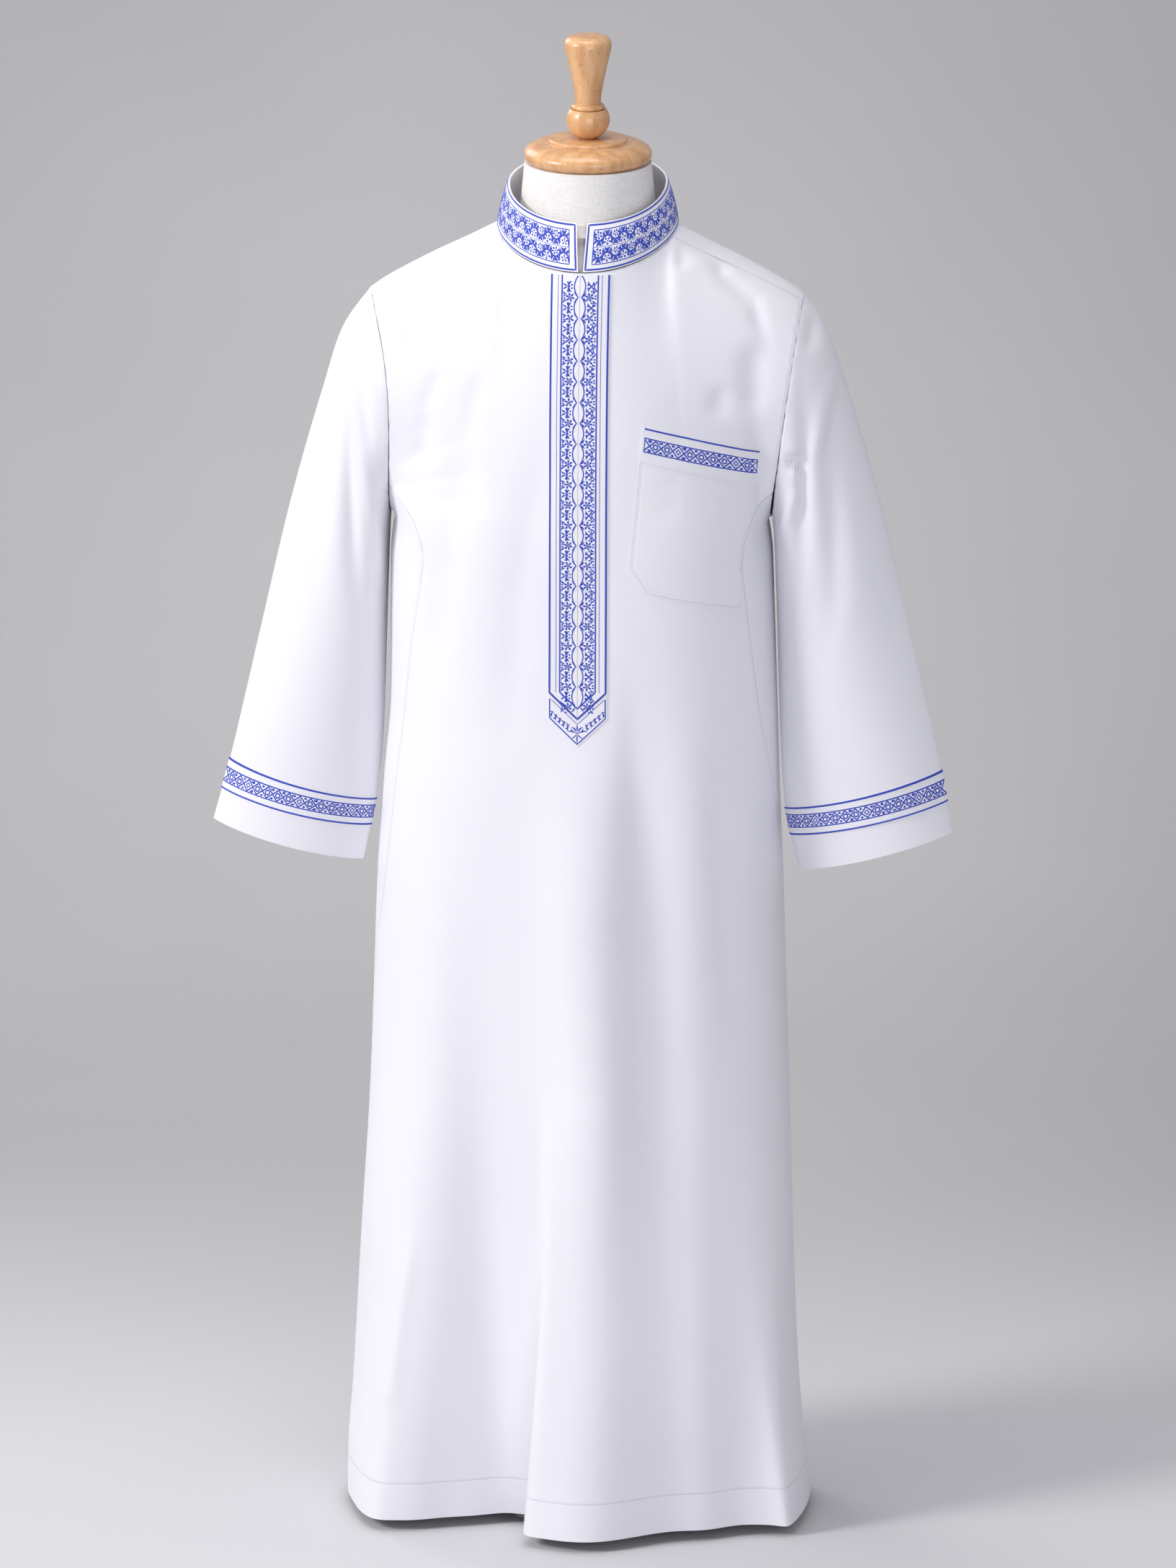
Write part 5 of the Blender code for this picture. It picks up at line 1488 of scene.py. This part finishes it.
@dataclass
class Placket:
    """The embroidered sides of the slit and the pointed end below them."""
    palette: Palette
    half_width: float = 29.6
    slit: float = 0.5
    top_z: float = 1337.5
    corner_z: float = 910.0
    point_drop: float = 28.0
    tip_height: float = 26.0
    frame_x: float = 18.0
    dotted_x: float = 21.9
    out: float = 1.15

    @staticmethod
    def place(along: Array, across: Array, height: Array) -> Array:
        """Points over the placket, from x, z and the height above its cloth."""
        return ROBE.over_front(along, across, height + 1.6)

    def edge_z(self, reach: Number, inset: float = 0.0) -> Array:
        """Height of the strip's slanting end, or of a line that runs inside it."""
        return self.corner_z - self.point_drop * (1 - np.abs(reach) / self.half_width) + inset

    def v_line(self, work: Needlework, reach: float, inset: float, width: float, rise: float = 0.35) -> None:
        """Draws a frame line down one side, round the point and up the other."""
        top = self.top_z - 0.6
        down = np.linspace(top, self.edge_z(reach, inset), 90)
        across = np.linspace(reach, -reach, 25)[1:-1]
        point = np.column_stack((across, self.edge_z(across, inset)))
        path = np.concatenate((np.column_stack((np.full(90, reach), down)), point,
                               np.column_stack((np.full(90, -reach), down[::-1]))))
        work.stroke(path, width, rise)

    def strip(self, side: Side) -> Cloth:
        """Cloth of one side of the slit."""
        share, down = np.meshgrid(np.linspace(0.0, 1.0, 11), np.linspace(0.0, 1.0, 150))
        reach = self.slit / 2 + (self.half_width - self.slit / 2) * share
        z = self.top_z + (self.edge_z(reach) - self.top_z) * down
        points = ROBE.over_front(side.value * reach, z, np.full(z.shape, self.out))[::-1]
        return Cloth(f"placket_{side.word}_cloth", points if side is Side.LEFT else points[:, ::-1], wall=1.0)

    def tip(self) -> Cloth:
        """Cloth of the pointed end."""
        share, down = np.meshgrid(np.linspace(-1.0, 1.0, 25), np.linspace(0.0, 1.0, 14))
        x = share * self.half_width
        points = ROBE.over_front(x, self.edge_z(x) - 0.3 - self.tip_height * down, np.full(x.shape, self.out))
        return Cloth("placket_tip_cloth", points[::-1], wall=1.0)

    def tip_stitches(self, work: Needlework) -> None:
        """Draws the outline of the pointed end and its spray of leaves."""
        reach, low = self.half_width - 1.4, -self.tip_height + 1.6
        across = np.linspace(-reach, reach, 25)
        outline = np.column_stack((across, self.edge_z(across, low)))
        sides = [np.column_stack((np.full(8, x), np.linspace(*ends, 8)))
                 for x, ends in ((-reach, (self.edge_z(reach, -4.5), self.edge_z(reach, low))),
                                 (reach, (self.edge_z(reach, low), self.edge_z(reach, -4.5))))]
        work.stroke(np.concatenate((sides[0][:-1], outline, sides[1][1:])), 1.7)
        inner = np.linspace(-reach + 1.4, reach - 1.4, 25)
        work.stroke(np.column_stack((inner, self.edge_z(inner, -3.9))), 0.9)
        foot = self.corner_z - self.point_drop - 13.0
        work.leaf((0, foot + 2.2), (0, foot + 9.0), 2.2)
        work.leaf((0, foot - 1.0), (0, foot - 11.0), 2.0)
        for side in Side:
            s = side.value
            work.leaf((s * 0.8, foot + 1.0), (s * 6.2, foot + 6.4), 2.3, 0.15 * s)
            work.leaf((s * 1.0, foot), (s * 10.5, foot + 1.6), 2.1, 0.12 * s)
            work.leaf((s * 0.7, foot - 0.8), (s * 6.0, foot - 5.4), 1.7, -0.12 * s)
            work.leaf((s * 6.0, foot + 8.0), (s * 25.8, foot + 22.6), 1.2, -0.08 * s)
            for k in range(5):
                u, w = s * (8.2 + 4.1 * k), foot + 8.0 + 3.4 * k
                work.leaf((u, w), (u + s * 1.2, w - 6.0), 2.1, 0.2 * s)
                work.leaf((u - s * 1.6, w - 3.2), (u - s * 2.6, w - 7.4), 1.6, -0.2 * s)
                work.leaf((u, w + 0.6), (u + s * 3.2, w + 1.0), 1.5, -0.2 * s)
                work.dot((u + s * 3.0, w - 3.2), 1.0)
        work.dot((0, foot), 1.1)

    def build(self) -> None:
        """Builds the strips, the pointed end and all their stitches."""
        cloths = {"placket_right": self.strip(Side.RIGHT), "placket_left": self.strip(Side.LEFT),
                  "placket_tip": self.tip()}
        for side in Side:
            work = Needlework()
            placket_column(work, side, self.top_z - 1.0, float(self.edge_z(0.0, 14.0)), 20.8)
            name = f"placket_{side.word}"
            stitches = settle(work.lay(f"{name}_stitches", self.place, self.palette.satin), "embroidery")
            piece = settle(cloths[name].build(self.palette.tape), "embroidery", name)
            cloths[name].area
        frame, cords = Needlework(), Needlework()
        self.v_line(frame, self.frame_x, 12.2, 2.0)
        self.v_line(cords, self.half_width - 1.1, 1.6, 2.3, 0.8)
        dots = np.arange(self.top_z - 1.0, float(self.edge_z(self.dotted_x, 8.4)), -2.0)
        for side in Side:
            for z in dots:
                x = side.value * self.dotted_x
                frame.stroke(((x, z), (x, z - 0.7), (x, z - 1.4)), 1.1, 0.3)
        self.tip_stitches(frame)
        lines = settle(frame.lay("placket_frame_lines", self.place, self.palette.satin), "embroidery")
        cord = settle(cords.lay("placket_cord", self.place, self.palette.wound), "embroidery")
        tip = settle(cloths["placket_tip"].build(self.palette.tape), "embroidery", "placket_tip")
        cloths["placket_tip"].area


@dataclass
class Collar:
    """The stand-up collar with its two bands of vine."""
    palette: Palette
    height: float = 45.5
    length: float = 532.0
    wall: float = 2.0

    def place(self, along: Array, across: Array, height: Array) -> Array:
        """Points outside the collar, from places along and up it and the height above its cloth."""
        share, up, step = along / self.length, across / self.height, 1e-3
        here = ROBE.collar(share, up)
        normal = unit(np.cross(ROBE.collar(share, up + step) - here, ROBE.collar(share + step, up) - here))
        return here + normal * (height + 0.5 * self.wall - 0.05)[..., None]

    def build(self) -> None:
        """Builds the collar."""
        share, up = np.meshgrid(np.linspace(0.0, 1.0, 241), np.linspace(0.0, 1.0, 15))
        cloth = Cloth("collar_cloth", ROBE.collar(share, up)[:, ::-1], wall=self.wall)
        piece = settle(cloth.build(self.palette.tape), "robe_cloth", "collar")
        work, cords = Needlework(), Needlework()
        high, end = self.height, self.length
        self.frame(cords, 2.0, 2.2, 2.1, 0.6)
        self.frame(work, 6.8, 8.2, 1.25)
        line = np.linspace(8.6, end - 8.6, 181)
        work.stroke(np.column_stack((line, np.full(181, 0.5 * high))), 0.7, 0.25)
        for low, top in ((7.6, 0.5 * high - 0.7), (0.5 * high + 0.7, high - 7.6)):
            vine_band(work, 9.4, end - 9.4, low, top, 17.0)
        stitches = settle(work.lay("collar_stitches", self.place, self.palette.satin), "embroidery")
        cord = settle(cords.lay("collar_cord", self.place, self.palette.wound), "embroidery")
        cloth.area

    def frame(self, work: Needlework, across: float, along: float, width: float, rise: float = 0.35) -> None:
        """Draws a line round the collar at a distance from its edges."""
        low, high, end = across, self.height - across, self.length
        run = np.linspace(along, end - along, 241)
        rise_up = np.linspace(low, high, 12)[1:-1]
        path = np.concatenate((
            np.column_stack((run, np.full(241, low))),
            np.column_stack((np.full(10, end - along), rise_up)),
            np.column_stack((run[::-1], np.full(241, high))),
            np.column_stack((np.full(10, along), rise_up[::-1])),
            np.array(((along, low),))))
        work.stroke(path, width, rise)


@dataclass
class Pocket:
    """The patch pocket and the embroidered band over its mouth."""
    palette: Palette
    top: tuple[tuple[float, float], tuple[float, float]] = ((65.0, 1185.5), (182.0, 1151.0))
    low: tuple[tuple[float, float], tuple[float, float]] = ((52.5, 1041.0), (170.5, 1010.0))
    cut: tuple[tuple[float, float], tuple[float, float]] = ((69.5, 1014.5), (160.0, 990.5))
    cut_share: float = 0.83
    trim_height: float = 35.0
    width: float = 122.0

    def outline(self, across: Array, down: Array) -> tuple[Array, Array]:
        """Places on the pocket, whose two lower corners are cut off."""
        top, low, cut = (np.array(pair) for pair in (self.top, self.low, self.cut))
        u = np.clip(down / self.cut_share, 0.0, 1.0)[..., None]
        w = np.clip((down - self.cut_share) / (1 - self.cut_share), 0.0, 1.0)[..., None]
        right = top[0] + (low[0] - top[0]) * u + (cut[0] - low[0]) * w
        left = top[1] + (low[1] - top[1]) * u + (cut[1] - low[1]) * w
        points = right + (left - right) * across[..., None]
        return points[..., 0], points[..., 1]

    def slack(self, across: Array, down: Array) -> Array:
        """How far the pocket's cloth stands off the front by itself, in mm."""
        return 1.3 * np.sin(math.pi * np.clip(across, 0, 1)) * np.sin(math.pi * np.clip(down, 0, 1) ** 0.7)

    def place(self, along: Array, across: Array, height: Array) -> Array:
        """Points over the band, from places along and up it and the height above its cloth."""
        share = along / self.width
        down = (self.trim_height - across) / 144.8 * self.cut_share
        x, z = self.outline(share, down)
        return ROBE.over_front(x, z, height + 2.3 + self.slack(share, down))

    def build(self) -> None:
        """Builds the pocket and its band."""
        across, down = np.meshgrid(np.linspace(0.0, 1.0, 46), np.linspace(0.0, 1.0, 60))
        x, z = self.outline(across, down)
        points = ROBE.over_front(x, z, 1.15 + self.slack(across, down))
        cloth = Cloth("pocket_cloth", points[::-1], wall=0.9, sewn=("left", "right", "bottom"))
        piece = settle(cloth.build(self.palette.pocket_twill), "robe_cloth", "pocket")
        cloth.area
        along, up = np.meshgrid(np.linspace(0.0, self.width, 46), np.linspace(0.0, self.trim_height, 14))
        band = Cloth("pocket_band", self.place(along, up, np.full(along.shape, -0.25)), wall=0.6)
        trim = settle(band.build(self.palette.tape), "embroidery", "pocket_trim")
        work, cords = Needlework(), Needlework()
        lattice_band(work, (2.2, self.width - 2.2), 10.9, 24.7, 1.7)
        line = np.linspace(1.5, self.width - 1.5, 91)
        cords.stroke(np.column_stack((line, np.full(91, self.trim_height - 1.2))), 2.1, 0.7)
        stitches = settle(work.lay("pocket_stitches", self.place, self.palette.satin), "embroidery")
        cord = settle(cords.lay("pocket_cord", self.place, self.palette.wound), "embroidery")
        band.area


FORM = Table(
    "z half_width half_depth pinch",
    (610, 120, 70, 1.0),
    (618, 150, 86, 1.0),
    (640, 165, 94, 1.0),
    (720, 172, 99, 1.0),
    (820, 160, 93, 1.0),
    (930, 150, 87, 1.0),
    (1050, 165, 90, 1.0),
    (1150, 173, 86, 1.0),
    (1215, 180, 80, 1.1),
    (1260, 188, 72, 1.25),
    (1285, 193, 66, 1.4),
    (1314.5, 195, 55.4, 1.9),
    (1323.9, 180, 56.6, 1.9),
    (1334.7, 160, 57.8, 1.9),
    (1344.5, 140, 59, 1.9),
    (1353.5, 120, 60.2, 1.9),
    (1360.3, 105, 61.1, 1.9),
    (1365.8, 93, 61.8, 1.9),
    (1371, 80, 73, 1.0),
    (1380, 70, 70, 1.0),
    (1402, 67.5, 67.5, 1.0),
    (1432.6, 64.5, 64.5, 1.0),
)
CHEST = Table(
    "z out",
    (1235, 0),
    (1290, 32),
    (1314, 37),
    (1340, 33),
    (1355, 22),
    (1366, 13),
    (1374, 2.4),
    (1386, 0),
)


@dataclass
class DressForm:
    """The limbless torso with its neck, wooden cap, finial, pole and base."""
    palette: Palette
    sides: int = 96
    cap_z: float = 1433.0
    rim_z: float = 1441.0
    disc_z: float = 1457.0
    top_z: float = 1563.0
    bead_z: float = 1489.5
    ball_z: float = 1476.07
    under_cloth: float = 0.992
    chest_width: float = 58.0

    def torso(self) -> None:
        """Makes the torso and neck, slimmer under the cloth, with a chest that runs up into the neck."""
        heights = np.concatenate((
            np.linspace(610, 660, 10), np.linspace(670, 1280, 60), np.linspace(1288, 1368, 28),
            np.linspace(1371, 1384, 10), np.linspace(1388, 1432.6, 14)))
        angle, z = np.meshgrid(np.linspace(0.0, 2 * math.pi, self.sides + 1), heights)
        slim = np.where(z < 1366, self.under_cloth, 1.0)
        pinch = FORM.at("pinch", z)
        x = FORM.at("half_width", z) * slim * signed_power(np.sin(angle), pinch)
        y = -FORM.at("half_depth", z) * slim * signed_power(np.cos(angle), pinch)
        chest = CHEST.at("out", z) * np.exp(-(x / self.chest_width) ** 2) * smooth(np.cos(angle), 0.0, 0.5)
        points = stacked(x, y - chest, z)
        rows, columns = points.shape[:2]
        work = bmesh.new()
        bmesh.ops.create_grid(work, x_segments=columns - 1, y_segments=rows - 1, size=1.0)
        work.verts.index_update()
        for vert, point in zip(work.verts, points.reshape(-1, 3) * MM):
            vert.co = point
        bmesh.ops.remove_doubles(work, verts=work.verts, dist=1e-6)
        bmesh.ops.holes_fill(work, edges=[edge for edge in work.edges if edge.is_boundary], sides=0)
        bmesh.ops.recalc_face_normals(work, faces=work.faces)
        mesh = bpy.data.meshes.new("torso")
        work.to_mesh(mesh)
        work.free()
        settle(link("form_torso", mesh, self.palette.linen), "linen", "dress_form")

    @staticmethod
    def eased(points: Sequence[tuple[float, float]], count: int) -> list[tuple[float, float]]:
        """Rounds a run of radius and height pairs into a smooth line of that many points."""
        run = np.array(points, float)
        length = np.concatenate(([0.0], np.cumsum(np.linalg.norm(np.diff(run, axis=0), axis=1))))
        table = Table("at radius height", *np.column_stack((length, run)))
        at = np.linspace(0.0, length[-1], count)
        return list(zip(table.at("radius", at), table.at("height", at)))

    def turned(self, name: str, profile: Sequence[tuple[float, float]], steps: int, finish: bpy.types.Material,
               slot: str, node: str) -> None:
        """Makes a turned piece by spinning a profile of radius and height in mm."""
        work = bmesh.new()
        verts = [work.verts.new((radius * MM, 0.0, z * MM)) for radius, z in profile]
        edges = [work.edges.new(pair) for pair in zip(verts, verts[1:])]
        bmesh.ops.spin(work, geom=verts + edges, cent=(0, 0, 0), axis=(0, 0, 1), angle=2 * math.pi, steps=steps,
                       use_merge=True)
        bmesh.ops.remove_doubles(work, verts=work.verts, dist=2e-6)
        bmesh.ops.recalc_face_normals(work, faces=work.faces)
        mesh = bpy.data.meshes.new(name)
        work.to_mesh(mesh)
        work.free()
        settle(link(name, mesh, finish, 32.0), slot, node)

    def cap(self) -> None:
        """Makes the wooden cap with its raised disc."""
        top, rim, low = self.disc_z, self.rim_z, self.cap_z
        dome = [(42 + 23 * math.sin(a), rim + (top - 4 - rim) * math.cos(a))
                for a in np.radians(np.arange(0, 91, 6))]
        disc = [(0, top), (37.6, top), (38.9, top - 0.35), (39.7, top - 1.1), (40, top - 2.0), (40, top - 3.3)]
        edge = [(64.7, rim - 2.2), (63.9, rim - 4.4), (62.3, rim - 6.6), (60.6, low + 0.3), (59, low), (0, low)]
        profile = [*disc, *dome, *edge]
        self.turned("cap", profile, 128, self.palette.beech, "varnished_wood", "neck_cap")

    def finial(self) -> None:
        """Makes the finial: a ball, a bead and a flared handle."""
        top = self.top_z
        crown = [(0, top), (14.5, top), (15.9, top - 0.2), (19.6, top - 1.4), (22.0, top - 3.2)]
        handle = self.eased([(23.6, top - 5.6), (24.1, top - 9), (21.8, top - 21.5), (17.6, top - 40),
                             (14, top - 59), (13.1, top - 70)], 40)
        bead = [(14 + 2.9 * math.cos(a), self.bead_z + 2.9 * math.sin(a))
                for a in np.radians(np.arange(72, -73, -12))]
        ball = [(22.2 * math.cos(a), self.ball_z + 20.5 * math.sin(a))
                for a in np.radians(np.arange(34, -69, -6))]
        profile = [*crown, *handle, *bead, *ball, (0, ball[-1][1])]
        self.turned("finial_wood", profile, 96, self.palette.beech, "varnished_wood", "finial")

    def stand(self) -> None:
        """Makes the pole and the round base."""
        base = [(0, 7), (86.5, 7), (88.4, 6.5), (89.6, 5.2), (90, 3.6), (90, 1.0), (89.2, 0.2), (88.4, 0),
                (0, 0)]
        self.turned("base_plate", base, 96, self.palette.powder_coat, "white_steel", "base")
        pole = [(0, 609.7), (13.2, 609.7), (14, 608.9), (14, 8.1), (13.2, 7.3), (0, 7.3)]
        self.turned("pole_tube", pole, 48, self.palette.powder_coat, "white_steel", "pole")

    def build(self) -> None:
        """Builds the form and its stand."""
        self.torso()
        self.cap()
        self.finial()
        self.stand()


@dataclass(frozen=True)
class SoftLight:
    """One soft box of the studio."""
    name: str
    place: tuple[float, float, float]
    size: float
    power: float
    colour: tuple[float, float, float] = (1.0, 1.0, 1.0)


@dataclass
class Studio:
    """Floor, backdrop, lights and camera."""
    aim: tuple[float, float, float] = (0.0, 0.0, 0.776)
    distance: float = 14.0
    elevation_deg: float = 15.8
    azimuth_deg: float = 4.5
    view_height: float = 1.611
    sensor: float = 36.0
    lights: tuple[SoftLight, ...] = (
        SoftLight("key_light", (-4.9, -2.6, 3.9), 1.9, 240.0, (1.0, 0.985, 0.965)),
        SoftLight("fill_light", (1.6, -5.4, 1.8), 3.0, 80.0, (0.92, 0.94, 1.0)),
        SoftLight("top_light", (-0.4, -0.2, 4.6), 2.2, 50.0),
        SoftLight("rim_light", (-2.2, 2.2, 2.6), 1.8, 26.0),
    )

    def backdrop(self) -> None:
        """Makes the floor and the backdrop as one sheet of studio paper, low enough to see over from behind."""
        work = bmesh.new()
        bend = [(1.6 + 1.8 * math.sin(a), 1.8 - 1.8 * math.cos(a)) for a in np.radians(np.arange(0, 67, 6))]
        profile = [(-9.0, 0.0), (0.0, 0.0), *bend]
        verts = [work.verts.new((-9.0, y, z)) for y, z in profile]
        edges = [work.edges.new(pair) for pair in zip(verts, verts[1:])]
        swept = bmesh.ops.extrude_edge_only(work, edges=edges)["geom"]
        far = [item for item in swept if isinstance(item, bmesh.types.BMVert)]
        bmesh.ops.translate(work, vec=(18.0, 0.0, 0.0), verts=far)
        mesh = bpy.data.meshes.new("studio_paper")
        work.to_mesh(mesh)
        work.free()
        link("studio_paper", mesh, StudioFinish().make())

    def light(self) -> None:
        """Hangs the soft boxes and sets the dim light of the room."""
        for soft in self.lights:
            lamp = bpy.data.lights.new(soft.name, "AREA")
            lamp.shape, lamp.size, lamp.energy, lamp.color = "DISK", soft.size, soft.power, soft.colour
            holder = bpy.data.objects.new(soft.name, lamp)
            holder.location = soft.place
            holder.rotation_euler = (Vector(self.aim) - Vector(soft.place)).to_track_quat("-Z", "Y").to_euler()
            bpy.context.scene.collection.objects.link(holder)
        world = bpy.data.worlds.new("room")
        world.use_nodes = True
        sky = world.node_tree.nodes["Background"]
        sky.inputs["Color"].default_value = (0.93, 0.94, 1.0, 1.0)
        sky.inputs["Strength"].default_value = 0.41
        bpy.context.scene.world = world
        bpy.context.scene.view_settings.view_transform = "Standard"

    def camera(self) -> None:
        """Sets up the camera at the photograph's viewing angle."""
        elevation, azimuth = math.radians(self.elevation_deg), math.radians(self.azimuth_deg)
        back = Vector((math.sin(azimuth) * math.cos(elevation), -math.cos(azimuth) * math.cos(elevation),
                       math.sin(elevation)))
        lens = bpy.data.cameras.new("camera")
        lens.sensor_fit = "VERTICAL"
        lens.sensor_width = lens.sensor_height = self.sensor
        lens.lens = self.sensor * self.distance / self.view_height
        lens.clip_end = 60.0
        camera = bpy.data.objects.new("camera", lens)
        camera.location = Vector(self.aim) + back * self.distance
        camera.rotation_euler = (-back).to_track_quat("-Z", "Y").to_euler()
        bpy.context.scene.collection.objects.link(camera)
        bpy.context.scene.camera = camera

    def build(self) -> None:
        """Builds the studio."""
        self.camera()
        self.backdrop()
        self.light()


def corners(box: Any) -> list[list[float]]:
    """A box's two corners as plain lists."""
    return [[round(float(value), 5) for value in corner] for corner in box]


def main() -> None:
    """Builds the dressed robe and its studio."""
    logging.basicConfig(level=logging.INFO, format="%(message)s")
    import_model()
    Studio().build()
    palette = Palette()
    RobeBody(palette).build()
    for side in Side:
        Sleeve(side, palette).build()
    Collar(palette).build()
    Placket(palette).build()
    Pocket(palette).build()
    DressForm(palette).build()


if __name__ == "__main__":
    main()
